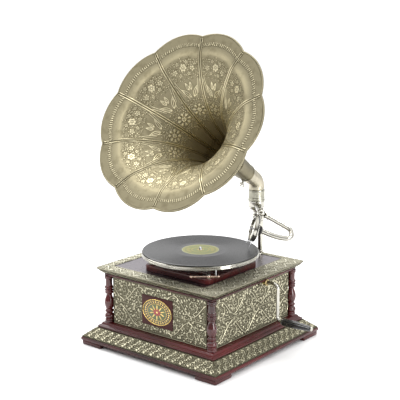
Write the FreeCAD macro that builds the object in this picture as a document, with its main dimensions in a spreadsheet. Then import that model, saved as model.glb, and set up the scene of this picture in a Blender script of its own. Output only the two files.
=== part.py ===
import FreeCAD, Part
import math
import os
import re

import Sketcher

# Wind-up horn phonograph on a square stepped case. Millimetres, +Z up, Z = 0 on the floor.
# Pieces are drawn from the middle of the case: +X is the crank side, -Y is the front.
# The last step moves every piece so that the middle of the whole machine is at X = Y = 0.

DRIVING = [
    # case, from the floor up; "half" is half of a square's side
    ("foot_height", 10), ("foot_arm", 54), ("foot_width", 16), ("foot_inset", 2),
    ("plinth_half", 188.3), ("rim_top", 17), ("band_half", 187), ("band_low", 18.6),
    ("moulding_half", 161.9), ("moulding_low", 38.9), ("moulding_top", 50), ("moulding_in", 152.8),
    ("sheet_thick", 1), ("wall_half", 143), ("notch_half", 130),
    ("wall_top", 156), ("cavity_half", 132), ("floor_top", 15),
    ("column_at", 142.9),
    ("cornice_half", 149.5), ("cornice_top", 161.6), ("cornice_in", 118),
    ("top_half", 163.5), ("top_height", 174.1),
    ("well_left", -62), ("well_right", 99), ("well_front", -104), ("well_back", 52),
    ("board_left", -68), ("board_right", 109), ("board_front", -112), ("board_back", 62),
    ("board_top", 187), ("board_round", 12),
    ("badge_left", -45), ("badge_right", 40.4), ("badge_low", 69), ("badge_high", 133.6),
    ("badge_thick", 1.5), ("oval_half_width", 41), ("oval_half_height", 28.5), ("oval_thick", 1),
    # turntable, about the spindle axis
    ("spindle_x", 19.9), ("spindle_y", -26.9), ("spindle_radius", 3.6), ("spindle_low", 79),
    ("spindle_high", 223), ("record_radius", 125), ("record_low", 214.8), ("record_high", 216.7),
    ("label_radius", 40), ("label_thick", 0.15), ("platter_radius", 126.5), ("platter_low", 205.5),
    ("platter_web", 210.5), ("mat_low", 213.6), ("mat_radius", 122), ("hub_radius", 14),
    # brake and speed control on the motor board
    ("brake_x", 104), ("brake_y", -104), ("brake_level", 190.5), ("brake_long", 36),
    ("brake_short", 20), ("brake_heading", 40), ("speed_x", -56), ("speed_y", -98),
    # upright and the swivel of the sound arm and horn
    ("pillar_x", 51), ("pillar_y", 151), ("pillar_radius", 6), ("yoke_low", 256),
    ("yoke_high", 264), ("yoke_radius", 9.5),
    ("pivot_x", 40), ("pivot_y", 150), ("spigot_radius", 5.5), ("spigot_high", 312),
    ("swivel_low", 271.5), ("swivel_high", 297), ("swivel_radius", 17.5),
    ("sleeve_low", 297.4), ("sleeve_high", 322), ("sleeve_radius", 18.3),
    # sound arm, gooseneck and sound box
    ("arm_heading", 43.6), ("arm_length", 87), ("arm_level", 288), ("arm_radius", 7),
    ("neck_radius", 5.6), ("box_tilt", 17), ("box_radius", 28), ("needle_lean", 11.7),
    ("needle_reach", 44.27),
    # elbow and horn
    ("elbow_radius", 17), ("elbow_reach", 13.6), ("tube_wall", 1.2), ("horn_cross", 342), ("horn_rise", 31),
    ("horn_heading", 1.8), ("horn_length", 328), ("horn_notch", 184.5), ("horn_tip", 194),
    ("rim_wire", 1.8), ("neck_start", 44),
    # crank
    ("crank_y", 37.5), ("crank_level", 152.5), ("crank_rod", 4), ("crank_out", 178.5),
    ("crank_throw", 79.5), ("crank_bend", 10), ("grip_start", 193), ("grip_end", 264),
    ("grip_thick", 8.4), ("grip_thin", 5.6), ("pin_radius", 3),
    # motor under the motor board
    ("plate_thick", 3), ("lower_plate", 78), ("upper_plate", 128), ("plate_left", -72),
    ("plate_right", 96), ("plate_front", -88), ("plate_back", 88),
    ("barrel_x", -20), ("barrel_y", 37.5), ("barrel_radius", 40), ("barrel_low", 84),
    ("barrel_high", 112), ("barrel_arbor", 5), ("great_teeth", 60), ("great_module", 1.5),
    ("second_teeth", 48), ("second_module", 1.25), ("pinion_teeth", 12),
    ("bush_hole", 7), ("spare_y", 15.9), ("spare_level", 152), ("spare_hole", 3.2),
    ("notch_turn", 21.7), ("gooseneck_bend", 11.5),
    ("governor_drop", 29.6), ("governor_level", 104), ("worm_wheel_teeth", 30),
    ("worm_wheel_radius", 24), ("worm_radius", 5), ("worm_starts", 2),
    ("winding_teeth", 40), ("winding_low", 140), ("running_gap", 0.05),
    # middle of the machine seen from above, measured from the middle of the case
    ("middle_x", 39), ("middle_y", -23.94),
]

doc = FreeCAD.newDocument("phonograph")
sizes = doc.addObject("Spreadsheet::Sheet", "Sizes")
for row, (alias, number) in enumerate(DRIVING, start=1):
    sizes.set("A%d" % row, alias)
    sizes.set("B%d" % row, str(number))
    sizes.setAlias("B%d" % row, alias)
doc.recompute()

UPRIGHT = FreeCAD.Rotation()
Z_TO_X = FreeCAD.Rotation(FreeCAD.Vector(0, 1, 0), 90)
Z_TO_Y = FreeCAD.Rotation(FreeCAD.Vector(1, 0, 0), -90)
LIFT_Y = FreeCAD.Rotation(FreeCAD.Vector(1, 0, 0), 90)
places = {}
nodes = []


def size(alias):
    """The number in one cell of the sheet."""
    return float(sizes.get(alias))


def cells(text):
    """An expression in which each bare lower-case word is a cell of the sheet."""
    return re.sub(r"(?<![\w.])([a-z][a-z_]*)(?![\w(])", r"Sizes.\1", str(text))


def spin(axis, degrees):
    return FreeCAD.Rotation(FreeCAD.Vector(*axis), degrees)


def place(item, x, y, z, turn=UPRIGHT):
    """Bind an item's place to the sheet."""
    item.Placement = FreeCAD.Placement(FreeCAD.Vector(), turn)
    places[item.Name] = (x, y)
    for letter, text in zip("xyz", (x, y, z)):
        item.setExpression("Placement.Base." + letter, cells(text))
    return item


def primitive(kind, name, x, y, z, turn, **properties):
    item = doc.addObject("Part::" + kind, name)
    for key, text in properties.items():
        item.setExpression(key, cells(text))
    return place(item, x, y, z, turn)


def box(name, x, y, z, length, width, height, turn=UPRIGHT):
    return primitive("Box", name, x, y, z, turn, Length=length, Width=width, Height=height)


def cylinder(name, x, y, z, radius, height, turn=UPRIGHT):
    return primitive("Cylinder", name, x, y, z, turn, Radius=radius, Height=height)


def cone(name, x, y, z, radius_low, radius_high, height, turn=UPRIGHT):
    return primitive("Cone", name, x, y, z, turn, Radius1=radius_low, Radius2=radius_high, Height=height)


def ball(name, x, y, z, radius):
    return primitive("Sphere", name, x, y, z, UPRIGHT, Radius=radius)


def square_frustum(name, half_low, half_high, low, high):
    """A solid with a square section that narrows or widens evenly from low to high."""
    return primitive("Wedge", name, "0", "0", "0", LIFT_Y,
                     Xmin="-(%s)" % half_low, Xmax=half_low, Zmin="-(%s)" % half_low, Zmax=half_low,
                     X2min="-(%s)" % half_high, X2max=half_high, Z2min="-(%s)" % half_high,
                     Z2max=half_high, Ymin=low, Ymax=high)


def square_bar(name, half, low, high):
    return box(name, "-(%s)" % half, "-(%s)" % half, low, "2*(%s)" % half, "2*(%s)" % half,
               "%s - (%s)" % (high, low))


def fuse(name, *pieces):
    item = doc.addObject("Part::MultiFuse", name)
    item.Shapes = list(pieces)
    return place(item, "0", "0", "0")


def cut(name, base, *tools):
    tool = tools[0] if len(tools) == 1 else fuse(name + "_tools", *tools)
    item = doc.addObject("Part::Cut", name)
    item.Base = base
    item.Tool = tool
    return place(item, "0", "0", "0")


def turned(name, x, y, z, profile, turn=UPRIGHT):
    """A body turned about its own Z axis from a closed outline of radius and height pairs."""
    body = doc.addObject("PartDesign::Body", name)
    sketch = body.newObject("Sketcher::SketchObject", name + "_outline")
    plane = [item for item in body.Origin.OriginFeatures if item.Role == "XZ_Plane"][0]
    sketch.AttachmentSupport = (plane, [""])
    sketch.MapMode = "FlatFace"
    count = len(profile)
    ring = [FreeCAD.Vector(40 + 30 * math.cos(math.tau * k / count),
                           40 + 30 * math.sin(math.tau * k / count), 0) for k in range(count)]
    for k in range(count):
        sketch.addGeometry(Part.LineSegment(ring[k], ring[(k + 1) % count]), False)
    for k in range(count):
        sketch.addConstraint(Sketcher.Constraint("Coincident", k, 2, (k + 1) % count, 1))
    for k, (radius, height) in enumerate(profile):
        across = sketch.addConstraint(Sketcher.Constraint("DistanceX", -1, 1, k, 1, ring[k].x))
        up = sketch.addConstraint(Sketcher.Constraint("DistanceY", -1, 1, k, 1, ring[k].y))
        sketch.setExpression("Constraints[%d]" % across, cells(radius))
        sketch.setExpression("Constraints[%d]" % up, cells(height))
    revolution = body.newObject("PartDesign::Revolution", name + "_turning")
    revolution.Profile = sketch
    revolution.ReferenceAxis = (sketch, ["V_Axis"])
    revolution.Angle = 360
    return place(body, x, y, z, turn)


def solid(name, shape):
    """A piece whose shape no single feature gives, already drawn at its own place."""
    item = doc.addObject("Part::Feature", name)
    item.Shape = shape
    return place(item, "0", "0", "0")


def node(label, item):
    """Name a finished sub-part and centre the machine over the origin."""
    item.Label = label
    x, y = places[item.Name]
    item.setExpression("Placement.Base.x", cells("%s - middle_x" % x))
    item.setExpression("Placement.Base.y", cells("%s - middle_y" % y))
    nodes.append(item)
    return item


def bent_rod(points, radius, bend):
    """A round rod along straight runs joined by arcs of one radius."""
    edges = []
    start = points[0]
    for before, corner, after in zip(points, points[1:], points[2:]):
        inward = (before - corner).normalize()
        outward = (after - corner).normalize()
        half_angle = inward.getAngle(outward) / 2
        reach = bend / math.tan(half_angle)
        middle = corner + (inward + outward).normalize() * (bend / math.sin(half_angle) - bend)
        first = corner + inward * reach
        last = corner + outward * reach
        edges.append(Part.LineSegment(start, first).toShape())
        edges.append(Part.Arc(first, middle, last).toShape())
        start = last
    edges.append(Part.LineSegment(start, points[-1]).toShape())
    ring = Part.Wire(Part.makeCircle(radius, points[0], points[1] - points[0]))
    return Part.Wire(edges).makePipeShell([ring], True, False)


# ---------------------------------------------------------------- case

def feet():
    """Four corner brackets: two short arms each, a little inside the plinth's rim."""
    end = "plinth_half - foot_inset"
    for name, turn in (("front_right", 270), ("back_right", 0), ("back_left", 90), ("front_left", 180)):
        corner = [box("foot_%s_%d" % (name, k), x, y, "0", length, width, "foot_height")
                  for k, (x, y, length, width) in enumerate((
                      (end + " - foot_arm", end + " - foot_width", "foot_arm", "foot_width"),
                      (end + " - foot_width", end + " - foot_arm", "foot_width", "foot_arm")))]
        bracket = fuse("foot_" + name, *corner)
        place(bracket, "0", "0", "0", spin((0, 0, 1), turn))
        node("foot_" + name, bracket)


def plinth():
    steps = [square_bar("plinth_rim", "plinth_half", "foot_height", "rim_top"),
             square_frustum("plinth_bevel", "plinth_half", "band_half", "rim_top",
                            "band_low - sheet_thick"),
             square_frustum("plinth_slope", "band_half", "moulding_half",
                            "band_low - sheet_thick", "moulding_low - sheet_thick")]
    solid_plinth = fuse("plinth_steps", *steps)
    node("plinth_board", cut("plinth_hollow", solid_plinth,
                             square_bar("plinth_cavity", "cavity_half", "floor_top", "moulding_top")))
    sheet = square_frustum("plinth_band_outer", "band_half", "moulding_half",
                           "band_low", "moulding_low")
    under = square_frustum("plinth_band_inner", "band_half", "moulding_half",
                           "band_low - sheet_thick", "moulding_low - sheet_thick")
    middle = square_bar("plinth_band_middle", "moulding_half - 2", "band_low - 1", "moulding_low + 1")
    node("plinth_sheet", cut("plinth_band", sheet, under, middle))
    step = square_frustum("moulding_block", "moulding_half - 0.2", "moulding_in",
                          "moulding_low", "moulding_top")
    foot_of_step = square_bar("moulding_foot", "moulding_half - 2", "moulding_low - sheet_thick",
                              "moulding_low")
    ring = fuse("moulding_ring", step, foot_of_step)
    node("base_moulding", cut("moulding_hollow", ring,
                              square_bar("moulding_cavity", "cavity_half", "floor_top",
                                         "moulding_top + 1")))


def wall_bores(name):
    """The crank's hole and a small spare hole, both through the right wall."""
    return [cylinder(name + "_crank_bore", "120", "crank_y", "crank_level", "bush_hole", "40", Z_TO_X),
            cylinder(name + "_spare_bore", "120", "spare_y", "spare_level", "spare_hole", "40", Z_TO_X)]


def walls():
    """Four boards glued into a box whose corners are notched for the columns."""
    outside = square_bar("carcass_block", "wall_half - sheet_thick", "moulding_top", "wall_top")
    notches = [box("carcass_notch_%d" % k, "(%d)*wall_half - 13" % a, "(%d)*wall_half - 13" % b,
                   "moulding_top - 1", "26", "26", "wall_top - moulding_top + 2")
               for k, (a, b) in enumerate(((1, 1), (1, -1), (-1, 1), (-1, -1)))]
    inside = square_bar("carcass_cavity", "cavity_half - 8", "moulding_top - 1", "wall_top + 1")
    mid = box("carcass_cavity_wide", "-cavity_half", "-(cavity_half - 8)", "moulding_top - 1",
              "2*cavity_half", "2*(cavity_half - 8)", "wall_top - moulding_top + 2")
    deep = box("carcass_cavity_deep", "-(cavity_half - 8)", "-cavity_half", "moulding_top - 1",
               "2*(cavity_half - 8)", "2*cavity_half", "wall_top - moulding_top + 2")
    node("case_walls", cut("carcass", outside, inside, mid, deep, *wall_bores("carcass"), *notches))


def wall_sheets():
    """One embossed sheet on each wall, between the columns; the right one is bored for the crank."""
    low, high = "moulding_top", "wall_top - moulding_top"
    for name, x, y, length, width in (
            ("front", "-notch_half", "-wall_half", "2*notch_half", "sheet_thick"),
            ("right", "wall_half - sheet_thick", "-notch_half", "sheet_thick", "2*notch_half"),
            ("back", "-notch_half", "wall_half - sheet_thick", "2*notch_half", "sheet_thick"),
            ("left", "-wall_half", "-notch_half", "sheet_thick", "2*notch_half")):
        piece = box("sheet_flat_" + name, x, y, low, length, width, high)
        if name == "right":
            piece = cut("sheet_bored", piece, *wall_bores("sheet"))
        node("wall_sheet_" + name, piece)


def columns():
    """Four turned columns: base, two rings, a bulb, a neck, two rings and a plain cap."""
    outline = [("0", "0"), ("10.4", "0"), ("10.4", "4"), ("9", "9"), ("10.6", "13"), ("10", "18"),
               ("7", "21"), ("9.6", "26"), ("7", "30"), ("9", "36"), ("10.6", "45"), ("9", "54"),
               ("6.6", "61"), ("6.4", "65"), ("9.4", "69"), ("9.6", "73"), ("7.4", "75"),
               ("9.8", "79"), ("7.6", "83"), ("7.6", "97"), ("9.4", "101"), ("9.4", "106"),
               ("0", "106")]
    for name, a, b in (("front_right", 1, -1), ("back_right", 1, 1), ("back_left", -1, 1),
                       ("front_left", -1, -1)):
        node("column_" + name, turned("column_turning_" + name, "%d*column_at" % a,
                                      "%d*column_at" % b, "moulding_top", outline))


def top():
    strip = square_bar("cornice_block", "cornice_half", "wall_top", "cornice_top")
    inner = square_bar("cornice_cavity", "cornice_in", "wall_top - 1", "cornice_top + 1")
    bush = cylinder("cornice_bush_seat", "100", "crank_y", "crank_level", "bush_hole", "80", Z_TO_X)
    node("cornice", cut("cornice_ring", strip, inner, bush))
    core = square_frustum("top_core", "cornice_half", "top_half - sheet_thick",
                          "cornice_top", "top_height - sheet_thick")
    well = box("top_well", "well_left", "well_front", "cornice_top - 1", "well_right - well_left",
               "well_back - well_front", "30")
    node("top_board", cut("top_board_cut", core, well))
    skin = square_frustum("top_skin", "cornice_half + sheet_thick", "top_half",
                          "cornice_top", "top_height")
    core_again = square_frustum("top_skin_core", "cornice_half", "top_half - sheet_thick",
                                "cornice_top", "top_height - sheet_thick")
    well_again = box("top_skin_well", "well_left", "well_front", "cornice_top - 1",
                     "well_right - well_left", "well_back - well_front", "30")
    node("top_sheet", cut("top_skin_cut", skin, core_again, well_again))


def motor_board():
    """Raised board that closes the well; the motor hangs under it."""
    block = box("board_block", "board_left", "board_front", "top_height", "board_right - board_left",
                "board_back - board_front", "board_top - top_height")
    doc.recompute()
    rounded = doc.addObject("Part::Fillet", "board_rounded")
    rounded.Base = block
    upright = [k + 1 for k, edge in enumerate(block.Shape.Edges)
               if abs(edge.tangentAt(edge.FirstParameter).z) > 0.9]
    radius = size("board_round")
    rounded.Edges = [(k, radius, radius) for k in upright]
    place(rounded, "0", "0", "0")
    bores = [cylinder("board_spindle_bore", "spindle_x", "spindle_y", "top_height - 1", "7", "30"),
             cylinder("board_speed_bore", "speed_x", "speed_y", "top_height - 1", "3.1", "30")]
    node("motor_board", cut("board_cut", rounded, *bores))


def badge():
    node("badge_plate", box("badge_block", "badge_left", "-wall_half - badge_thick", "badge_low",
                            "badge_right - badge_left", "badge_thick", "badge_high - badge_low"))
    ring = doc.addObject("Part::Ellipse", "oval_line")
    ring.setExpression("MajorRadius", cells("oval_half_width"))
    ring.setExpression("MinorRadius", cells("oval_half_height"))
    place(ring, "(badge_left + badge_right)/2", "-wall_half - badge_thick",
          "(badge_low + badge_high)/2", LIFT_Y)
    oval = doc.addObject("Part::Extrusion", "oval_plate")
    oval.Base = ring
    oval.Dir = (0, -1, 0)
    oval.DirMode = "Custom"
    oval.setExpression("LengthFwd", cells("oval_thick"))
    oval.Solid = True
    place(oval, "0", "0", "0")
    node("badge_oval", oval)


def crank_bush():
    """Flanged brass bearing that carries the crank's shaft through the wall."""
    node("crank_bush", turned("bush_turning", "126", "crank_y", "crank_level",
                              [("crank_rod + running_gap", "0"), ("bush_hole - 0.02", "0"),
                               ("bush_hole - 0.02", "24"), ("bush_hole", "24.4"), ("bush_hole", "25.5"),
                               ("crank_rod + running_gap", "25.5")], Z_TO_X))


# ---------------------------------------------------------------- turntable

def turntable():
    x, y = "spindle_x", "spindle_y"
    node("platter", turned("platter_turning", x, y, "0", [
        ("spindle_radius", "196"), ("hub_radius - 3", "196"), ("hub_radius", "199"),
        ("hub_radius", "platter_web"), ("platter_radius - 3", "platter_web"),
        ("platter_radius - 2", "platter_low"), ("platter_radius", "platter_low"),
        ("platter_radius", "mat_low + 0.6"), ("mat_radius + 0.5", "mat_low + 0.6"),
        ("mat_radius + 0.5", "mat_low"), ("spindle_radius", "mat_low")]))
    node("felt_mat", turned("mat_turning", x, y, "mat_low", [
        ("spindle_radius", "0"), ("mat_radius", "0"), ("mat_radius", "record_low - mat_low"),
        ("spindle_radius", "record_low - mat_low")]))
    node("record", turned("record_turning", x, y, "record_low", [
        ("spindle_radius", "0"), ("record_radius - 1", "0"), ("record_radius", "0.9"),
        ("record_radius - 1", "record_high - record_low"),
        ("spindle_radius", "record_high - record_low")]))
    node("label", turned("label_turning", x, y, "record_high", [
        ("spindle_radius", "0"), ("label_radius", "0"), ("label_radius", "label_thick"),
        ("spindle_radius", "label_thick")]))
    node("spindle", turned("spindle_turning", x, y, "0", [
        ("0", "spindle_low"), ("2.4", "spindle_low"), ("2.4", "lower_plate + plate_thick + 1"),
        ("spindle_radius", "lower_plate + plate_thick + 1"), ("spindle_radius", "spindle_high - 3"),
        ("1.2", "spindle_high"), ("0", "spindle_high")]))


def brake():
    """Two-armed lever: a long handle one way and, the other way, a felt shoe inside the rim."""
    node("brake_post", turned("brake_post_turning", "brake_x", "brake_y", "board_top", [
        ("0", "0"), ("4.4", "0"), ("4.4", "1.4"), ("2.2", "1.4"), ("2.2", "6.2"), ("3.6", "6.2"),
        ("3.6", "7.4"), ("2.6", "8.6"), ("0", "8.6")]))
    heading = size("brake_heading")
    lever_turn = spin((0, 0, 1), heading)
    hub = cylinder("brake_hub", "0", "0", "-1.9", "4.6", "4.2")
    bar = cylinder("brake_bar", "-brake_long", "0", "0", "1.5", "brake_long + brake_short",
                   Z_TO_X)
    knobs = [ball("brake_knob_long", "-brake_long", "0", "0", "3.1"),
             ball("brake_knob_short", "brake_short", "0", "0", "2.9")]
    fins = [cylinder("brake_fin_%d" % k, "%f" % along, "0", "0", "3", "1.2", Z_TO_X)
            for k, along in enumerate((6.4, 8.9, 11.4))]
    whole = fuse("brake_solid", hub, bar, *knobs, *fins)
    bored = cut("brake_lever_cut", whole, cylinder("brake_bore", "0", "0", "-6", "2.25", "12"))
    place(bored, "brake_x", "brake_y", "brake_level", lever_turn)
    node("brake_lever", bored)
    stem = cylinder("shoe_stem", "brake_short - 5", "0", "1.6", "1.2", "13")
    pad = box("shoe_pad", "brake_short - 7", "-2", "14.6", "4", "4", "4")
    shoe = fuse("brake_shoe_fuse", stem, pad)
    place(shoe, "brake_x", "brake_y", "brake_level", lever_turn)
    node("brake_shoe", shoe)


def speed_control():
    """Knob and pointer on the board; its rod goes down to the governor's friction pad."""
    stem = cylinder("speed_stem", "0", "0", "-62", "3", "64")
    knob = cylinder("speed_knob", "0", "0", "0.3", "7", "4")
    pointer = box("speed_pointer", "0", "-1.6", "0.3", "15", "3.2", "1.4")
    lever = fuse("speed_lever_fuse", stem, knob, pointer)
    place(lever, "speed_x", "speed_y", "board_top")
    node("speed_lever", lever)


# ---------------------------------------------------------------- upright, sound arm, sound box

def upright():
    foot = cylinder("pillar_flange", "pillar_x - 1", "pillar_y - 4", "top_height", "8.4", "3.4")
    stem = cylinder("pillar_stem", "pillar_x", "pillar_y", "top_height", "pillar_radius",
                    "yoke_high - top_height")
    ends = [cylinder("yoke_end_%d" % k, x, y, "yoke_low", "yoke_radius", "yoke_high - yoke_low")
            for k, (x, y) in enumerate((("pillar_x", "pillar_y"), ("pivot_x", "pivot_y")))]
    node("pillar", fuse("pillar_fuse", foot, stem, *ends))
    node("spigot", turned("spigot_turning", "pivot_x", "pivot_y", "yoke_high", [
        ("3.2", "0"), ("8", "0"), ("8", "1.6"), ("spigot_radius", "2.4"),
        ("spigot_radius", "spigot_high - yoke_high"), ("3.2", "spigot_high - yoke_high")]))


def from_arm_end(forward, side, up):
    """Place measured from the end of the sound arm: ahead, to its right and up."""
    return ("pivot_x + (arm_length + (%s))*sin(arm_heading) + (%s)*cos(arm_heading)" % (forward, side),
            "pivot_y - (arm_length + (%s))*cos(arm_heading) + (%s)*sin(arm_heading)" % (forward, side),
            "arm_level + (%s)" % up)


def arm_point(forward, side, up):
    """The same place as numbers."""
    heading = math.radians(size("arm_heading"))
    ahead = size("arm_length") + forward
    return FreeCAD.Vector(
        size("pivot_x") + ahead * math.sin(heading) + side * math.cos(heading),
        size("pivot_y") - ahead * math.cos(heading) + side * math.sin(heading),
        size("arm_level") + up)


def sound_arm():
    bore = "spigot_radius + running_gap"
    node("swivel_cup", turned("swivel_turning", "pivot_x", "pivot_y", "0", [
        (bore, "swivel_low"), ("9.5", "swivel_low"), ("11", "swivel_low + 3"),
        ("swivel_radius", "swivel_low + 9"), ("swivel_radius", "swivel_high - 4"),
        ("swivel_radius + 1", "swivel_high - 3"), ("swivel_radius + 1", "swivel_high"),
        (bore, "swivel_high")]))
    along = spin((0, 0, 1), size("arm_heading") - 90) * Z_TO_X
    tube = cone("arm_cone", "12", "0", "0", "arm_radius + 1.4", "arm_radius - 0.5", "arm_length - 12",
                Z_TO_X)
    collar = cylinder("arm_collar", "arm_length - 16", "0", "0", "arm_radius + 1.6", "4", Z_TO_X)
    knuckle = ball("arm_knuckle", "arm_length", "0", "0", "arm_radius + 0.6")
    arm = fuse("arm_fuse", tube, collar, knuckle)
    place(arm, "pivot_x", "pivot_y", "arm_level", spin((0, 0, 1), size("arm_heading") - 90))
    cup = cylinder("arm_cup", "pivot_x", "pivot_y", "swivel_low", "swivel_radius", "40")
    lip = cylinder("arm_cup_lip", "pivot_x", "pivot_y", "swivel_high - 4", "swivel_radius + 1", "10")
    arm = cut("arm_cut", arm, cup, lip)
    node("arm_tube", arm)


def gooseneck():
    """Hairpin tube: out to the right of the arm's end, round a bend and back to the sound box."""
    points = [arm_point(*spot) for spot in (
        (0, 6.86, -4.12), (0, 64, -38.4), (21, 64, -55.32), (21, -5.42, -34.09))]
    tube = bent_rod(points, size("neck_radius"), size("gooseneck_bend"))
    leg = points[1] - points[0]
    slope = math.degrees(math.atan2(-leg.z, math.hypot(leg.x, leg.y)))
    turn = spin((0, 0, 1), size("arm_heading") - 90) * spin((1, 0, 0), -slope) * Z_TO_Y
    ferrule = turned("ferrule_turning", *from_arm_end("0", "6.86", "-4.12"), [
        ("0", "0"), ("7.2", "0"), ("7.2", "4"), ("6.4", "5"), ("6.4", "9"),
        ("7", "9.5"), ("7", "11"), ("0", "11")], turn)
    node("gooseneck", fuse("gooseneck_fuse", solid("gooseneck_tube", tube), ferrule))


def sound_box():
    """Round box on the hairpin's end; its own frame is X ahead, Y down, Z towards the hairpin."""
    front = from_arm_end("21", "-18.8 - 5.5*cos(box_tilt)", "-30 + 5.5*sin(box_tilt)")
    turn = spin((0, 0, 1), size("arm_heading") - 90) * spin((1, 0, 0), -size("box_tilt")) * Z_TO_Y
    node("sound_box_shell", turned("shell_turning", *front, [
        ("neck_radius", "9"), ("neck_radius", "14"), ("8.5", "14"), ("9.5", "11"),
        ("box_radius - 2", "11"), ("box_radius", "9"), ("box_radius", "2"), ("box_radius - 1", "0"),
        ("box_radius - 4", "0"), ("box_radius - 4", "9")], turn))
    node("rubber_flange", turned("flange_turning", *front, [
        ("neck_radius", "14"), ("9.6", "14"), ("10.4", "15.5"), ("10.4", "19"), ("8", "21.5"),
        ("neck_radius", "21.5")], turn))
    node("diaphragm", turned("diaphragm_turning", *front, [
        ("0", "3"), ("box_radius - 4", "3"), ("box_radius - 4", "3.4"), ("0", "3.4")], turn))
    lean = turn * spin((0, 0, 1), -size("needle_lean"))
    bar = box("stylus_bar_strip", "-1.1", "-1.5", "-2.2", "2.2", "31.5", "1.4")
    screw = cylinder("stylus_screw", "0", "0", "-3.2", "1.5", "6.2")
    link = box("stylus_link", "-1.5", "28.2", "-2.2", "3", "3", "6.6")
    chuck = cylinder("stylus_chuck", "0", "28.2", "4.4", "2.7", "8", Z_TO_Y)
    thumb = cylinder("stylus_thumb", "0", "33.2", "-4.6", "1.9", "7")
    whole = fuse("stylus_fuse", bar, screw, link, chuck, thumb)
    bored = cut("stylus_cut", whole, cylinder("needle_bore", "0", "29.5", "4.4", "0.8", "10", Z_TO_Y))
    place(bored, *front, lean)
    node("stylus_bar", bored)
    shank = cylinder("needle_shank", "0", "29.5", "4.4", "0.8", "9.5", Z_TO_Y)
    point = cone("needle_point", "0", "39", "4.4", "0.8", "0.12", "needle_reach - 39", Z_TO_Y)
    needle = fuse("needle_fuse", shank, point)
    place(needle, *front, lean)
    node("needle", needle)


# ---------------------------------------------------------------- elbow and horn

def horn_turn():
    """Turns +Z to the horn's axis."""
    return spin((0, 0, 1), size("horn_heading")) * spin((1, 0, 0), 90 - size("horn_rise"))


def horn_point(along):
    axis = horn_turn().multVec(FreeCAD.Vector(0, 0, 1))
    return FreeCAD.Vector(size("pivot_x"), size("pivot_y"), size("horn_cross")) + axis * along


def on_horn_axis(label, shape):
    item = doc.addObject("Part::Feature", label + "_shape")
    item.Shape = shape
    place(item, "pivot_x", "pivot_y", "horn_cross", horn_turn())
    return node(label, item)


def sleeve_and_elbow():
    node("sleeve", turned("sleeve_turning", "pivot_x", "pivot_y", "0", [
        ("spigot_radius + running_gap", "sleeve_low"), ("sleeve_radius + 0.8", "sleeve_low"),
        ("sleeve_radius + 0.8", "sleeve_low + 3"), ("sleeve_radius", "sleeve_low + 4"),
        ("sleeve_radius", "sleeve_high"), ("elbow_radius - tube_wall - 1", "sleeve_high"),
        ("elbow_radius - tube_wall - 1", "sleeve_low + 4"),
        ("spigot_radius + running_gap", "sleeve_low + 4")]))
    corner = FreeCAD.Vector(size("pivot_x"), size("pivot_y"), size("horn_cross"))
    foot = corner - FreeCAD.Vector(0, 0, size("horn_cross") - size("sleeve_high"))
    head = horn_point(size("neck_start") + 12)
    bend = size("elbow_reach") / math.tan(math.radians(90 - size("horn_rise")) / 2)
    outer = bent_rod([foot, corner, head], size("elbow_radius"), bend)
    inner = bent_rod([foot, corner, head], size("elbow_radius") - size("tube_wall"), bend)
    lip = turned("lip_turning", "pivot_x", "pivot_y", "sleeve_high", [
        ("elbow_radius - 0.5", "0"), ("sleeve_radius + 1", "0"), ("sleeve_radius + 1", "1.5"),
        ("elbow_radius + 0.6", "3"), ("elbow_radius - 0.5", "3")])
    node("elbow", fuse("elbow_fuse", solid("elbow_tube", outer.cut(inner)), lip))


def horn_profile():
    """Radius of the horn's outer skin at distances along its axis from where it crosses the upright."""
    length = size("horn_length")
    return [(size("neck_start"), size("elbow_radius") + size("tube_wall") + 0.4),
            (length - 232, 24), (length - 185, 31.5), (length - 140, 42), (length - 100, 57),
            (length - 66, 78), (length - 40, 103), (length - 22, 128), (length - 10, 152),
            (length - 3, 174)]


def lobed_outline(notch, tip, height):
    """Closed wire of ten arcs that meet in notches."""
    edges = []
    for k in range(10):
        angles = [math.radians(size("notch_turn") + 36 * k + step) for step in (0, 18, 36)]
        spots = [FreeCAD.Vector(reach * math.cos(angle), reach * math.sin(angle), height)
                 for reach, angle in zip((notch, tip, notch), angles)]
        edges.append(Part.Arc(*spots).toShape())
    return edges


def bell():
    """Thin flared shell: a sleeve at the neck, then ten petals cut to the lobed outline."""
    profile = horn_profile()
    wall = size("tube_wall")
    edge_height = size("horn_length")
    outer = [FreeCAD.Vector(radius, 0, along) for along, radius in profile]
    outer.append(FreeCAD.Vector(size("horn_tip") + 6, 0, edge_height))
    inner = []
    for k, spot in enumerate(outer):
        before = outer[max(k - 1, 0)]
        after = outer[min(k + 1, len(outer) - 1)]
        along = (after - before).normalize()
        inner.append(spot + FreeCAD.Vector(-along.z, 0, along.x) * wall)
    outer_line = Part.BSplineCurve()
    outer_line.interpolate(outer)
    inner_line = Part.BSplineCurve()
    inner_line.interpolate(inner)
    face = Part.Face(Part.Wire([
        outer_line.toShape(), Part.LineSegment(outer[-1], inner[-1]).toShape(),
        inner_line.toShape().reversed(), Part.LineSegment(inner[0], outer[0]).toShape()]))
    shell = face.revolve(FreeCAD.Vector(), FreeCAD.Vector(0, 0, 1), 360)
    outline = Part.Face(Part.Wire(lobed_outline(size("horn_notch"), size("horn_tip"), 0)))
    trimmed = shell.common(outline.extrude(FreeCAD.Vector(0, 0, edge_height + 10)))
    join = edge_height - 225
    neck = trimmed.common(Part.makeCylinder(60, join))
    on_horn_axis("horn_neck", neck)
    petals = trimmed.cut(Part.makeCylinder(60, join))
    pieces = []
    for k in range(10):
        start = math.radians(size("notch_turn") + 36 * k)
        wedge = Part.makeCylinder(260, edge_height + 20, FreeCAD.Vector(), FreeCAD.Vector(0, 0, 1), 36)
        wedge.rotate(FreeCAD.Vector(), FreeCAD.Vector(0, 0, 1), math.degrees(start))
        pieces.append(petals.common(wedge))
    on_horn_axis("horn_petals", Part.makeCompound([part for piece in pieces for part in piece.Solids]))


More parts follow.
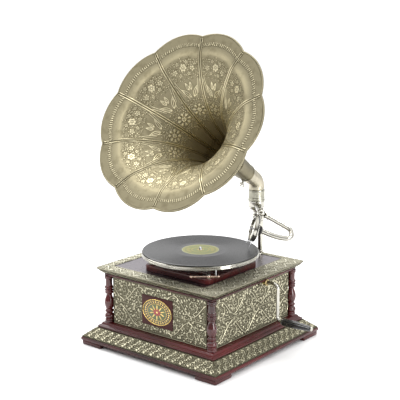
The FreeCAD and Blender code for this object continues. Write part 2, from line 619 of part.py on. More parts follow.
def rim_wire():
    """Round wire that stiffens the scalloped edge: ten arcs mitred at the notches."""
    radius, height = size("rim_wire"), size("horn_length")
    gap = radius + 0.15
    notch, tip = size("horn_notch") + gap, size("horn_tip") + gap
    half_chord = notch * math.sin(math.radians(18))
    rise = tip - notch * math.cos(math.radians(18))
    bow = (half_chord ** 2 + rise ** 2) / (2 * rise)
    ring = Part.makeTorus(bow, radius, FreeCAD.Vector(tip - bow, 0, height))
    band = Part.makeCylinder(tip + 10, 20, FreeCAD.Vector(0, 0, height - 10))
    band = band.cut(Part.makeCylinder(notch - 30, 20, FreeCAD.Vector(0, 0, height - 10)))
    wedge = Part.makeCylinder(tip + 20, 20, FreeCAD.Vector(0, 0, height - 10),
                              FreeCAD.Vector(0, 0, 1), 36)
    wedge.rotate(FreeCAD.Vector(), FreeCAD.Vector(0, 0, 1), -18)
    arc = ring.common(wedge).common(band)
    arcs = []
    for k in range(10):
        copy = arc.copy()
        copy.rotate(FreeCAD.Vector(), FreeCAD.Vector(0, 0, 1), size("notch_turn") + 18 + 36 * k)
        arcs.extend(copy.Solids)
    on_horn_axis("rim_wire", Part.makeCompound(arcs))


def thumb_screw():
    """Screw under the horn's neck that grips the elbow."""
    start = "elbow_radius + tube_wall + 1.35"
    stem = cylinder("thumb_stem", "0", "0", start, "2.6", "8")
    wing = box("thumb_wing", "-1.3", "-7", start + " + 7.4", "2.6", "14", "8")
    collar = cylinder("thumb_collar", "0", "0", start, "4.6", "2.4")
    screw = fuse("thumb_fuse", stem, wing, collar)
    turn = horn_turn() * spin((1, 0, 0), 90)
    spot = horn_point(size("neck_start") + 6)
    place(screw, "%.3f" % spot.x, "%.3f" % spot.y, "%.3f" % spot.z, turn)
    node("thumb_screw", screw)


# ---------------------------------------------------------------- crank

def crank():
    """Shaft through the wall, a bend down, the throw, a bend out and the pin of the handle."""
    y, level = size("crank_y"), size("crank_level")
    out, low = size("crank_out"), level - size("crank_throw")
    shaft_start = size("barrel_x") + size("winding_teeth") * 2 / 3 - 6
    rod = bent_rod([FreeCAD.Vector(shaft_start, y, level), FreeCAD.Vector(out, y, level),
                    FreeCAD.Vector(out, y, low), FreeCAD.Vector(size("grip_start") - 1.5, y, low)],
                   size("crank_rod"), size("crank_bend"))
    pin = Part.makeCylinder(size("pin_radius"), size("grip_end") - size("grip_start") + 2.5,
                            FreeCAD.Vector(size("grip_start") - 2, y, low), FreeCAD.Vector(1, 0, 0))
    head = Part.makeCylinder(4.6, 2, FreeCAD.Vector(size("grip_end") + 0.3, y, low),
                             FreeCAD.Vector(1, 0, 0))
    boss = Part.makeCylinder(6, 3, FreeCAD.Vector(size("grip_start") - 3.4, y, low),
                             FreeCAD.Vector(1, 0, 0))
    node("crank_rod", solid("crank_whole", rod.multiFuse([pin, head, boss])))
    bore = "pin_radius + running_gap"
    end = "grip_end - grip_start"
    node("crank_grip", turned("grip_turning", "grip_start", "crank_y", "crank_level - crank_throw", [
        (bore, "0"), ("grip_thick - 1.4", "0"), ("grip_thick", "2"), ("grip_thick", "14"),
        ("grip_thick - 0.8", "30"), ("grip_thin", end + " - 4"), ("grip_thin - 1.2", end),
        (bore, end)], Z_TO_X))


# ---------------------------------------------------------------- spring motor

def toothed_disc(teeth, module, low, high, bore, phase=0.0):
    """A spur wheel with slim straight-sided teeth; phase turns one tooth to that angle."""
    pitch = teeth * module / 2
    step = math.tau / teeth
    corners = []
    for k in range(teeth):
        middle = math.radians(phase) + k * step
        for radius, offset in ((pitch - 1.15 * module, -0.3), (pitch + 0.8 * module, -0.1),
                               (pitch + 0.8 * module, 0.1), (pitch - 1.15 * module, 0.3)):
            angle = middle + offset * step
            corners.append(FreeCAD.Vector(radius * math.cos(angle), radius * math.sin(angle), low))
    outline = Part.Face(Part.makePolygon(corners + corners[:1]))
    disc = outline.extrude(FreeCAD.Vector(0, 0, high - low))
    return disc.cut(Part.makeCylinder(bore, high - low, FreeCAD.Vector(0, 0, low)))


def second_arbor():
    """Middle of the second wheel: in mesh with the great wheel and with the spindle's pinion."""
    barrel_at = FreeCAD.Vector(size("barrel_x"), size("barrel_y"), 0)
    spindle_at = FreeCAD.Vector(size("spindle_x"), size("spindle_y"), 0)
    near = (size("great_teeth") + size("pinion_teeth")) * size("great_module") / 2
    far = (size("second_teeth") + size("pinion_teeth")) * size("second_module") / 2
    line = spindle_at - barrel_at
    along = (near ** 2 - far ** 2 + line.Length ** 2) / (2 * line.Length)
    aside = math.sqrt(near ** 2 - along ** 2)
    ahead = FreeCAD.Vector(line).normalize()
    return barrel_at + ahead * along + FreeCAD.Vector(ahead.y, -ahead.x, 0) * aside


def heading_between(start, end):
    return math.degrees(math.atan2(end.y - start.y, end.x - start.x))


def placed_solid(label, shape, x, y):
    item = doc.addObject("Part::Feature", label + "_shape")
    item.Shape = shape
    return node(label, place(item, x, y, "0"))


def motor_plates():
    """Two plates carry the arbors; pillars join them and the upper one bears the crank's shaft."""
    gap, second = size("running_gap"), second_arbor()
    left, front, thick = size("plate_left"), size("plate_front"), size("plate_thick")
    wide, deep = size("plate_right") - left, size("plate_back") - front
    low, high = size("lower_plate"), size("upper_plate")
    plates = []
    for level, spindle_hole in ((low, 2.4), (high, size("spindle_radius"))):
        plate = Part.makeBox(wide, deep, thick, FreeCAD.Vector(left, front, level))
        for x, y, radius in ((size("barrel_x"), size("barrel_y"), size("barrel_arbor")),
                             (second.x, second.y, SECOND_ARBOR),
                             (size("spindle_x"), size("spindle_y"), spindle_hole)):
            hole = Part.makeCylinder(radius + gap, thick + 2, FreeCAD.Vector(x, y, level - 1))
            plate = plate.cut(hole)
        plates.append(plate)
    pillars = [Part.makeCylinder(4, high - low - thick, FreeCAD.Vector(x, y, low + thick))
               for x in (left + 8, left + wide - 8) for y in (front + 8, front + deep - 8)]
    posts = []
    for x in (size("spindle_x") - 26, size("spindle_x") + 70):
        post = Part.makeBox(4, 12, size("governor_level") + 7 - low - thick,
                            FreeCAD.Vector(x, governor_line() - 6, low + thick))
        posts.append(post.cut(Part.makeCylinder(GOVERNOR_PIVOT + gap, 6, FreeCAD.Vector(
            x - 1, governor_line(), size("governor_level")), FreeCAD.Vector(1, 0, 0))))
    node("lower_plate", solid("lower_plate_shape", plates[0].multiFuse(pillars + posts)))
    x, y, level = 30, size("crank_y"), size("crank_level")
    bracket = Part.makeBox(6, 14, level + 8 - high - thick, FreeCAD.Vector(x, y - 7, high + thick))
    bracket = bracket.cut(Part.makeCylinder(size("crank_rod") + gap, 10,
                                            FreeCAD.Vector(x - 2, y, level), FreeCAD.Vector(1, 0, 0)))
    node("upper_plate", solid("upper_plate_shape", plates[1].fuse(bracket)))


def hanging_bolts():
    """Three bolts with rubber washers hold the upper plate under the motor board."""
    low = size("upper_plate") + size("plate_thick")
    bolts = []
    for x, y in ((-50, -75), (86, -75), (80, 8)):
        stem = Part.makeCylinder(3, size("top_height") - low, FreeCAD.Vector(x, y, low))
        bolts.append(stem.fuse(Part.makeCylinder(6.5, 6, FreeCAD.Vector(x, y, low))))
    node("hanging_bolts", solid("hanging_bolts_shape", Part.makeCompound(bolts)))


def spring_barrel():
    """Drum with the great wheel round its upper edge."""
    low, high, radius = size("barrel_low"), size("barrel_high"), size("barrel_radius")
    bore = size("barrel_arbor") + size("running_gap")
    drum = Part.makeCylinder(radius, high - low, FreeCAD.Vector(0, 0, low))
    hollow = Part.makeCylinder(radius - 1.6, high - low - 2, FreeCAD.Vector(0, 0, low + 2))
    drum = drum.cut(hollow).cut(Part.makeCylinder(bore, 10, FreeCAD.Vector(0, 0, low - 1)))
    barrel_at = FreeCAD.Vector(size("barrel_x"), size("barrel_y"), 0)
    wheel = toothed_disc(int(size("great_teeth")), size("great_module"), high, high + 3, bore,
                         heading_between(barrel_at, second_arbor()))
    placed_solid("spring_barrel", drum.fuse(wheel), "barrel_x", "barrel_y")


def mainspring():
    """Flat steel strip in a spiral from the arbor to the barrel's wall."""
    low, turns, steps, thick = size("barrel_low") + 2.5, 9, 30, 0.7
    inner, outer = size("barrel_arbor") + 0.6, size("barrel_radius") - 2.8
    line = [(math.tau * k / steps, inner + (outer - inner) * k / (turns * steps))
            for k in range(turns * steps + 1)]
    edge = [FreeCAD.Vector(r * math.cos(a), r * math.sin(a), low) for a, r in line]
    edge += [FreeCAD.Vector((r + thick) * math.cos(a), (r + thick) * math.sin(a), low)
             for a, r in reversed(line)]
    band = Part.Face(Part.makePolygon(edge + edge[:1]))
    strip = band.extrude(FreeCAD.Vector(0, 0, size("barrel_high") - low - 0.5))
    placed_solid("mainspring", strip, "barrel_x", "barrel_y")


def winding_wheel():
    """The barrel's arbor and, on top of it, the crown wheel that the crank's pinion turns."""
    teeth, low = int(size("winding_teeth")), size("winding_low")
    mean = teeth * WINDING_MODULE / 2
    top = low + 3
    tip = size("crank_level") - PINION_PITCH + 0.8 * WINDING_MODULE
    step = 2 * math.pi * mean / teeth
    parts = [Part.makeCylinder(size("barrel_arbor"), top - size("lower_plate"),
                               FreeCAD.Vector(0, 0, size("lower_plate")))]
    for k in range(teeth):
        section = [FreeCAD.Vector(mean - 2.2, side * step, level)
                   for side, level in ((-0.3, top - 0.5), (-0.1, tip), (0.1, tip), (0.3, top - 0.5))]
        tooth = Part.Face(Part.makePolygon(section + section[:1])).extrude(FreeCAD.Vector(4.4, 0, 0))
        tooth.rotate(FreeCAD.Vector(), FreeCAD.Vector(0, 0, 1), 360 * (k + 0.5) / teeth)
        parts.append(tooth)
    disc = Part.makeCylinder(mean + 3, 3, FreeCAD.Vector(0, 0, low))
    placed_solid("winding_wheel", disc.multiFuse(parts), "barrel_x", "barrel_y")


def winding_pinion():
    """Pinion on the inner end of the crank's shaft, one tooth straight down."""
    wheel = toothed_disc(int(size("pinion_teeth")), WINDING_MODULE, -2.2, 2.2, size("crank_rod"), 0)
    item = doc.addObject("Part::Feature", "winding_pinion_shape")
    item.Shape = wheel
    place(item, "barrel_x + winding_teeth*2/3", "crank_y", "crank_level", Z_TO_X)
    node("winding_pinion", item)


def second_wheel():
    """Second arbor: a pinion in the great wheel and a wheel that drives the spindle's pinion."""
    here = second_arbor()
    barrel_at = FreeCAD.Vector(size("barrel_x"), size("barrel_y"), 0)
    spindle_at = FreeCAD.Vector(size("spindle_x"), size("spindle_y"), 0)
    high = size("barrel_high")
    half_step = 180 / size("pinion_teeth")
    pinion = toothed_disc(int(size("pinion_teeth")), size("great_module"), high - 1, high + 4,
                          SECOND_ARBOR / 2, heading_between(here, barrel_at) + half_step)
    wheel = toothed_disc(int(size("second_teeth")), size("second_module"), high + 8, high + 11,
                         SECOND_ARBOR / 2, heading_between(here, spindle_at))
    arbor = Part.makeCylinder(SECOND_ARBOR, size("upper_plate") + 3 - size("lower_plate"),
                              FreeCAD.Vector(0, 0, size("lower_plate")))
    hub = Part.makeCylinder(5, 5, FreeCAD.Vector(0, 0, high + 3.5))
    placed_solid("second_wheel", arbor.multiFuse([pinion, wheel, hub]),
                 "%.6f" % here.x, "%.6f" % here.y)


def spindle_wheels():
    """Pinion that turns the spindle and, below it, the wheel that drives the governor's worm."""
    here, second = FreeCAD.Vector(size("spindle_x"), size("spindle_y"), 0), second_arbor()
    high = size("barrel_high")
    bore = size("spindle_radius")
    half_step = 180 / size("pinion_teeth")
    pinion = toothed_disc(int(size("pinion_teeth")), size("second_module"), high + 7, high + 12,
                          bore, heading_between(here, second) + half_step)
    teeth = int(size("worm_wheel_teeth"))
    level = size("governor_level")
    wheel = toothed_disc(teeth, 2 * size("worm_wheel_radius") / teeth, level - 1.5, level + 1.5,
                         bore, -90)
    hub = Part.makeCylinder(8, 5, FreeCAD.Vector(0, 0, level - 6.5))
    hub = hub.cut(Part.makeCylinder(bore, 5, FreeCAD.Vector(0, 0, level - 6.5)))
    placed_solid("spindle_wheels", Part.makeCompound([pinion, wheel.fuse(hub)]),
                 "spindle_x", "spindle_y")


def governor_line():
    return size("spindle_y") - size("governor_drop")


def governor():
    """Worm shaft with three sprung weights between two collars and a friction disc."""
    start, length = -22, 92
    pitch = math.tau * size("worm_wheel_radius") / size("worm_wheel_teeth")
    starts = int(size("worm_starts"))
    lead = pitch * starts
    core = [Part.makeCylinder(3.2, length - 2, FreeCAD.Vector(0, 0, start + 1)),
            Part.makeCylinder(GOVERNOR_PIVOT, length + 8, FreeCAD.Vector(0, 0, start - 4))]
    outer = size("worm_radius") + 1.3
    for k in range(starts):
        helix = Part.makeHelix(lead, 2 * lead, 3.0)
        section = [FreeCAD.Vector(radius, 0, side) for radius, side in
                   ((3.0, -0.95), (outer, -0.45), (outer, 0.45), (3.0, 0.95))]
        outline = Part.makePolygon(section + section[:1])
        thread = Part.Wire(helix.Edges).makePipeShell([outline], True, True)
        thread.translate(FreeCAD.Vector(0, 0, k * pitch - lead))
        core.append(thread)
    collars = [Part.makeCylinder(7, 4, FreeCAD.Vector(0, 0, along)) for along in (20, 54)]
    disc = Part.makeCylinder(13, 2, FreeCAD.Vector(0, 0, 58))
    weights = []
    for k in range(3):
        strip = [Part.makeBox(1, 5, 16.5, FreeCAD.Vector(6, -2.5, 20)),
                 Part.makeBox(1, 5, 16.5, FreeCAD.Vector(6, -2.5, 41.5)),
                 Part.makeBox(6, 5, 1, FreeCAD.Vector(6, -2.5, 35.5)),
                 Part.makeBox(6, 5, 1, FreeCAD.Vector(6, -2.5, 41.5)),
                 Part.makeSphere(6, FreeCAD.Vector(12, 0, 39))]
        for piece in strip:
            piece.rotate(FreeCAD.Vector(), FreeCAD.Vector(0, 0, 1), 120 * k + 30)
            weights.append(piece)
    whole = core[0].multiFuse(core[1:] + collars + [disc] + weights)
    item = doc.addObject("Part::Feature", "governor_shape")
    item.Shape = whole
    place(item, "spindle_x", "spindle_y - governor_drop", "governor_level", Z_TO_X)
    node("governor", item)


SECOND_ARBOR = 2.5
GOVERNOR_PIVOT = 1.6
WINDING_MODULE = 4 / 3
PINION_PITCH = size("pinion_teeth") * WINDING_MODULE / 2

for build in (feet, plinth, walls, wall_sheets, columns, top, motor_board, badge, crank_bush,
              turntable, brake, speed_control, upright, sound_arm, gooseneck, sound_box,
              sleeve_and_elbow, bell, rim_wire, thumb_screw, crank, winding_pinion,
              motor_plates, hanging_bolts, spring_barrel, mainspring, winding_wheel,
              second_wheel, spindle_wheels, governor):
    build()
doc.recompute()

for item in doc.Objects:
    if "Invalid" in item.State or "Error" in item.State:
        raise RuntimeError("%s failed: %s" % (item.Name, item.State))
for item in nodes:
    if item.Shape.isNull() or not item.Shape.isValid() or item.Shape.Volume <= 0:
        raise RuntimeError("%s has no valid shape" % item.Label)

os.makedirs("parts", exist_ok=True)
for item in nodes:
    item.Shape.exportStep(os.path.join("parts", item.Label + ".step"))
whole = Part.makeCompound([item.Shape for item in nodes]).BoundBox
print("%d sub-parts; X %.2f to %.2f, Y %.2f to %.2f, Z %.2f to %.2f" % (
    len(nodes), whole.XMin, whole.XMax, whole.YMin, whole.YMax, whole.ZMin, whole.ZMax))
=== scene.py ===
import math

import bmesh
import bpy
import numpy as np
from mathutils import Matrix, Vector


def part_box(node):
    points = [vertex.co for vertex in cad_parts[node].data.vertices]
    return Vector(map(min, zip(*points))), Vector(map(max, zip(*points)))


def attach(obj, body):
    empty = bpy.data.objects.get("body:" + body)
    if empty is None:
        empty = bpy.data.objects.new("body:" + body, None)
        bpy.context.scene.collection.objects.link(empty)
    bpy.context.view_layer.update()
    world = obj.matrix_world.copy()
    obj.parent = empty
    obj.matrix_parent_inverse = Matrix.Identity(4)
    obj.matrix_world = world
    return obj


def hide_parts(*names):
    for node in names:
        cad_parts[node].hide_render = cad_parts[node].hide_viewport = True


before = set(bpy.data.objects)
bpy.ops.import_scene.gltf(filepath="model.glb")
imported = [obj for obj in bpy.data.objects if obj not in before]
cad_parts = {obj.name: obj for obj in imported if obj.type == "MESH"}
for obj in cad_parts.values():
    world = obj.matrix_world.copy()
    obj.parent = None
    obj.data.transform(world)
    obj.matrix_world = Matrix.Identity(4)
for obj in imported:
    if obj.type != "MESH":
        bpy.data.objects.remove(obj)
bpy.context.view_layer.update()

MM = 0.001

# The middle of the case, on the floor. Shapes are drawn in millimetres from there.
PLINTH_LOW, PLINTH_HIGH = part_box("plinth_board")
CASE = np.array([(PLINTH_LOW.x + PLINTH_HIGH.x) / 2, (PLINTH_LOW.y + PLINTH_HIGH.y) / 2, 0])


def span(node):
    """Lowest and highest corner of a CAD node from the middle of the case, to a tenth of a millimetre."""
    return [np.round((np.array(corner) - CASE) / MM, 1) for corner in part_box(node)]


def middle(node):
    """The centre of a CAD node's box, in the same millimetres."""
    return sum(span(node)) / 2


# ---------------------------------------------------------------- shapes: (points, faces) pairs

def grid(points, wrap_rows=False, wrap_columns=False):
    """Quads over an array of points in rows and columns."""
    rows, columns = points.shape[:2]
    index = np.arange(rows * columns).reshape(rows, columns)
    if wrap_rows:
        index = np.vstack([index, index[:1]])
    if wrap_columns:
        index = np.hstack([index, index[:, :1]])
    faces = np.stack([index[:-1, :-1], index[1:, :-1], index[1:, 1:], index[:-1, 1:]], axis=-1)
    return points.reshape(-1, 3), faces.reshape(-1, 4)


def joined(*shapes):
    """Several shapes as one."""
    starts = np.cumsum([0] + [len(points) for points, _ in shapes])
    faces = [np.asarray(faces) + start for (_, faces), start in zip(shapes, starts)]
    return np.vstack([points for points, _ in shapes]), np.vstack(faces)


def moved(shape, turn=None, offset=(0, 0, 0)):
    """A shape turned about the origin and then shifted."""
    points, faces = shape
    if turn is not None:
        points = points @ np.array(turn.to_3x3()).T
    return points + np.array(offset), faces


def heading(axis):
    """The turn that takes +Z to an axis."""
    return Vector(axis).to_track_quat("Z", "Y").to_matrix()


def spin(axis, degrees):
    """The turn about an axis."""
    return Matrix.Rotation(math.radians(degrees), 3, Vector(axis))


def rounded(outline, radius, steps=3, limit=0.45):
    """An outline with each corner cut by an arc; its first and last point stay."""
    outline = [np.array(point, float) for point in outline]
    result = [outline[0]]
    for before, corner, after in zip(outline, outline[1:], outline[2:]):
        inward, outward = before - corner, after - corner
        size_in, size_out = np.linalg.norm(inward), np.linalg.norm(outward)
        inward, outward = inward / size_in, outward / size_out
        half = math.acos(np.clip(inward @ outward, -1, 1)) / 2
        if half > 1.5 or half < 0.02:
            result.append(corner)
            continue
        reach = min(radius / math.tan(half), limit * size_in, limit * size_out)
        arc = reach * math.tan(half)
        centre = corner + (inward + outward) / np.linalg.norm(inward + outward) * arc / math.sin(half)
        first, last = corner + inward * reach - centre, corner + outward * reach - centre
        turn = math.acos(np.clip(first @ last / (arc * arc), -1, 1))
        for k in range(steps + 1):
            share = k / steps
            if turn < 1e-4:
                result.append(corner)
                break
            result.append(centre + (math.sin((1 - share) * turn) * first + math.sin(share * turn) * last)
                          / math.sin(turn))
    result.append(outline[-1])
    return np.array(result)


def lathe(outline, steps=72, edge=0.0):
    """An outline of (radius, height) pairs turned about Z."""
    outline = rounded(outline, edge) if edge else np.array(outline, float)
    angles = np.arange(steps) * math.tau / steps
    rings = np.empty((len(outline), steps, 3))
    rings[..., 0] = outline[:, :1] * np.cos(angles)
    rings[..., 1] = outline[:, :1] * np.sin(angles)
    rings[..., 2] = outline[:, 1:]
    return grid(rings, wrap_columns=True)


def sweep(path, radius, steps=28, closed=False, caps=True):
    """A round tube along a path; radius is one number or one for each point."""
    path = np.array(path, float)
    if closed:
        ahead = np.roll(path, -1, 0) - np.roll(path, 1, 0)
    else:
        ahead = np.gradient(path, axis=0)
    ahead /= np.linalg.norm(ahead, axis=1)[:, None]
    side = np.cross(ahead[0], (0.31, 0.17, 0.94))
    sides = []
    for along in ahead:
        side = side - (side @ along) * along
        side = side / np.linalg.norm(side)
        sides.append(side)
    sides = np.array(sides)
    others = np.cross(ahead, sides)
    radii = np.broadcast_to(np.asarray(radius, float), len(path)).copy()
    if caps and not closed:
        path = np.vstack([path[:1], path, path[-1:]])
        sides = np.vstack([sides[:1], sides, sides[-1:]])
        others = np.vstack([others[:1], others, others[-1:]])
        radii = np.concatenate([[0], radii, [0]])
    angles = np.arange(steps) * math.tau / steps
    rings = (path[:, None] + radii[:, None, None] * (np.cos(angles)[None, :, None] * sides[:, None]
                                                     + np.sin(angles)[None, :, None] * others[:, None]))
    return grid(rings, wrap_rows=closed, wrap_columns=True)


def distances(points):
    """How far along a line each of its points lies."""
    return np.concatenate([[0], np.cumsum(np.linalg.norm(np.diff(points, axis=0), axis=1))])


def dense(path, pitch):
    """The same path with a point at least every pitch."""
    path = np.array(path, float)
    result = [path[:1]]
    for start, end in zip(path, path[1:]):
        count = max(1, int(math.ceil(np.linalg.norm(end - start) / pitch)))
        result.append(start + (end - start) * (np.arange(1, count + 1) / count)[:, None])
    return np.vstack(result)


def ball(centre, radius, steps=32):
    """A sphere whose poles lie on Z."""
    arc = np.linspace(-math.pi / 2, math.pi / 2, steps // 2 + 1)
    return moved(lathe(np.stack([np.cos(arc), np.sin(arc)], 1) * radius, steps), None, centre)


def square_ring(outline, corner=0.8, closed=True):
    """An outline of (half width, height) pairs carried round a square whose corners are rounded."""
    outline = np.array(outline, float)
    plan = []
    for quarter in range(4):
        for step in range(4):
            angle = math.radians(90 * quarter + 30 * step)
            x_side = 1 if quarter in (0, 3) else -1
            y_side = 1 if quarter in (0, 1) else -1
            plan.append((x_side, y_side, corner * math.cos(angle), corner * math.sin(angle)))
    rings = np.array([[(x * max(half - corner, 0) + min(half, corner) / corner * dx,
                        y * max(half - corner, 0) + min(half, corner) / corner * dy, height)
                       for x, y, dx, dy in plan] for half, height in outline])
    return grid(rings, wrap_rows=closed, wrap_columns=True)


def slab(low, high, edge):
    """A box whose edges are all rounded; its triangles are sorted, as the bevel's own order varies."""
    low, high = np.array(low, float), np.array(high, float)
    box = bmesh.new()
    bmesh.ops.create_cube(box, size=1.0)
    for vertex in box.verts:
        vertex.co = Vector((np.array(vertex.co) + 0.5) * (high - low) + low)
    bmesh.ops.bevel(box, geom=box.edges[:], offset=edge, segments=3, profile=0.5, affect="EDGES")
    bmesh.ops.triangulate(box, faces=box.faces[:])
    triangles = []
    for face in box.faces:
        places = [tuple(vertex.co) for vertex in face.verts]
        first = places.index(min(places))
        triangles.append(places[first:] + places[:first])
    box.free()
    return flats(np.array(sorted(triangles)))


def flats(corners):
    """Triangles as quads whose last two corners are one place."""
    return np.concatenate([corners, corners[:, 2:]], 1).reshape(-1, 3), \
        np.arange(4 * len(corners)).reshape(-1, 4)


# ---------------------------------------------------------------- pieces

def piece(name, body, shape, material, stands_for, marks=None):
    """A mesh object made from a shape, riding on a body and standing for CAD nodes."""
    points, faces = shape
    mesh = bpy.data.meshes.new(name)
    mesh.vertices.add(len(points))
    mesh.vertices.foreach_set("co", (points * MM + CASE).astype(np.float32).ravel())
    mesh.loops.add(faces.size)
    mesh.loops.foreach_set("vertex_index", faces.astype(np.int32).ravel())
    mesh.polygons.add(len(faces))
    mesh.polygons.foreach_set("loop_start", np.arange(0, faces.size, faces.shape[1], dtype=np.int32))
    mesh.update(calc_edges=True)
    for mark, values in (marks or {}).items():
        layer = mesh.attributes.new(mark, "FLOAT", "POINT")
        values = np.broadcast_to(np.asarray(values, np.float32).ravel(), len(points))
        layer.data.foreach_set("value", np.ascontiguousarray(values))
    work = bmesh.new()
    work.from_mesh(mesh)
    bmesh.ops.remove_doubles(work, verts=work.verts[:], dist=1e-6)
    bmesh.ops.recalc_face_normals(work, faces=work.faces[:])
    enlist(name, work, mesh, 38, body, material, stands_for)


def enlist(name, work, mesh, crease, body, material, stands_for):
    """Puts worked-over geometry into the scene as one piece, sharp where it bends past the crease."""
    work.to_mesh(mesh)
    work.free()
    mesh.shade_smooth()
    mesh.set_sharp_from_angle(angle=math.radians(crease))
    mesh.materials.append(material)
    made = bpy.data.objects.new(name, mesh)
    bpy.context.scene.collection.objects.link(made)
    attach(made, body)
    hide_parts(*stands_for)


def softened(name, node, body, width, material):
    """A CAD node drawn again with its sharp edges rounded."""
    work = bmesh.new()
    work.from_mesh(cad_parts[node].data)
    bmesh.ops.remove_doubles(work, verts=work.verts[:], dist=1e-6)
    bmesh.ops.dissolve_limit(work, angle_limit=math.radians(1), verts=work.verts[:],
                             edges=work.edges[:])
    sharp = [edge for edge in work.edges
             if edge.is_manifold and edge.calc_face_angle() > math.radians(30)]
    bmesh.ops.bevel(work, geom=sharp, offset=width * MM, segments=3, profile=0.5, affect="EDGES",
                    clamp_overlap=True)
    enlist(name, work, bpy.data.meshes.new(name), 35, body, material, (node,))


# ---------------------------------------------------------------- embossing

class Relief:
    """Heights over a flat sheet, in millimetres, on a regular raster."""

    def __init__(self, low, high, pitch):
        """A bare raster from one corner to the other."""
        rows, columns = (int(round((b - a) / pitch)) + 1 for a, b in zip(low, high))
        self.along = np.linspace(low[0], high[0], rows)
        self.across = np.linspace(low[1], high[1], columns)
        self.height = np.zeros((rows, columns))

    def window(self, low, high):
        """The part of the raster between two corners, and its places along and across."""
        rows = slice(*np.searchsorted(self.along, (low[0], high[0])))
        columns = slice(*np.searchsorted(self.across, (low[1], high[1])))
        return (rows, columns), self.along[rows, None], self.across[None, columns]

    def lift(self, area, height):
        """Raises a part of the raster wherever the new height is greater."""
        part = self.height[area]
        np.maximum(part, height, out=part)

    def cord(self, points, half_width, tall):
        """A rounded ridge along points; half_width is one number or one for each point."""
        points = np.asarray(points, float)
        widths = np.broadcast_to(half_width, len(points))
        for start, end, first, last in zip(points, points[1:], widths, widths[1:]):
            reach = max(first, last)
            area, u, v = self.window(np.minimum(start, end) - reach, np.maximum(start, end) + reach)
            line = end - start
            share = ((u - start[0]) * line[0] + (v - start[1]) * line[1]) / (line @ line + 1e-9)
            share = np.clip(share, 0, 1)
            gap = np.hypot(u - start[0] - share * line[0], v - start[1] - share * line[1])
            across = gap / (first + share * (last - first))
            self.lift(area, tall * np.sqrt(np.clip(1 - across ** 2, 0, 1)))

    def dome(self, centre, radius, tall):
        """Half a ball, flattened or drawn out to its height."""
        centre = np.asarray(centre, float)
        area, u, v = self.window(centre - radius, centre + radius)
        gap = np.hypot(u - centre[0], v - centre[1]) / radius
        self.lift(area, tall * np.sqrt(np.clip(1 - gap ** 2, 0, 1)))

    def leaf(self, foot, aim, length, breadth, tall):
        """A pointed leaf with a groove down its middle; aim is an angle in radians."""
        foot = np.asarray(foot, float)
        area, u, v = self.window(foot - length, foot + length)
        share = ((u - foot[0]) * math.cos(aim) + (v - foot[1]) * math.sin(aim)) / length
        across = (v - foot[1]) * math.cos(aim) - (u - foot[0]) * math.sin(aim)
        inside = (share > 0) & (share < 1)
        half = breadth * np.sin(math.pi * np.clip(share, 0, 1) ** 0.8) + 1e-3
        body = np.sqrt(np.clip(1 - (across / half) ** 2, 0, 1)) * inside
        vein = 0.5 * np.exp(-(across / (0.2 * breadth)) ** 2)
        self.lift(area, tall * body * (1 - vein))

    def flower(self, centre, radius, petals, tall, turn=0.0):
        """Round petals about a raised eye."""
        for k in range(petals):
            angle = turn + k * math.tau / petals
            spot = (centre[0] + 0.62 * radius * math.cos(angle),
                    centre[1] + 0.62 * radius * math.sin(angle))
            self.dome(spot, 0.36 * radius, tall)
        self.dome(centre, 0.24 * radius, tall * 1.1)

    def scroll(self, centre, radius, start, turns, hand, stem, tall):
        """A tendril that winds in to a berry, with leaflets along its outer side."""
        share = np.linspace(0, 1, int(22 * turns) + 2)
        angle = start + hand * share * turns * math.tau
        reach = radius * (1 - 0.84 * share)
        line = np.stack([centre[0] + reach * np.cos(angle), centre[1] + reach * np.sin(angle)], 1)
        self.cord(line, stem * (1 - 0.4 * share), tall)
        self.dome(line[-1], stem * 1.7, tall * 1.1)
        for k in range(2, int(20 * min(turns, 1.2)), 3):
            for side, size in ((0.75, 0.42), (-2.3, 0.26)):
                self.leaf(line[k], angle[k] + hand * side, size * radius, 0.11 * radius, 0.85 * tall)

    def outline(self, foot, aim, length, breadth, stem, tall):
        """A leaf drawn by its edge and its midrib."""
        share = np.linspace(0, 1, 13)
        ahead, aside = np.array((math.cos(aim), math.sin(aim))), np.array((-math.sin(aim), math.cos(aim)))
        for bow in (-1, 0, 1):
            side = bow * breadth * np.sin(math.pi * share ** 0.85)
            reach = length * share * (1 if bow else 0.8)
            self.cord(np.array(foot) + reach[:, None] * ahead + side[:, None] * aside, stem, tall)

    def foliage(self, pitch, length, tall, seed, area=None):
        """Small leaves, curls and dots wherever the ground is still bare."""
        draw = np.random.default_rng(seed)
        for u in np.arange(self.along[0] + pitch / 2, self.along[-1], pitch):
            for v in np.arange(self.across[0] + pitch / 2, self.across[-1], pitch):
                spot = np.array((u, v)) + draw.uniform(-0.3, 0.3, 2) * pitch
                aim, kind = draw.uniform(0, math.tau), draw.uniform()
                if area is not None and not area(*spot):
                    continue
                near, _, _ = self.window(spot - 0.33 * pitch, spot + 0.33 * pitch)
                if self.height[near].size == 0 or self.height[near].max() > 0.25 * tall:
                    continue
                if kind < 0.55:
                    foot = spot - 0.5 * length * np.array((math.cos(aim), math.sin(aim)))
                    self.leaf(foot, aim, length, 0.27 * length, tall)
                elif kind < 0.8:
                    bow = aim + np.linspace(0, 4.4, 9)
                    reach = 0.36 * length * np.linspace(1, 0.35, 9)
                    curl = np.stack([spot[0] + reach * np.cos(bow), spot[1] + reach * np.sin(bow)], 1)
                    self.cord(curl, 0.11 * length, tall)
                else:
                    self.dome(spot, 0.2 * length, tall)

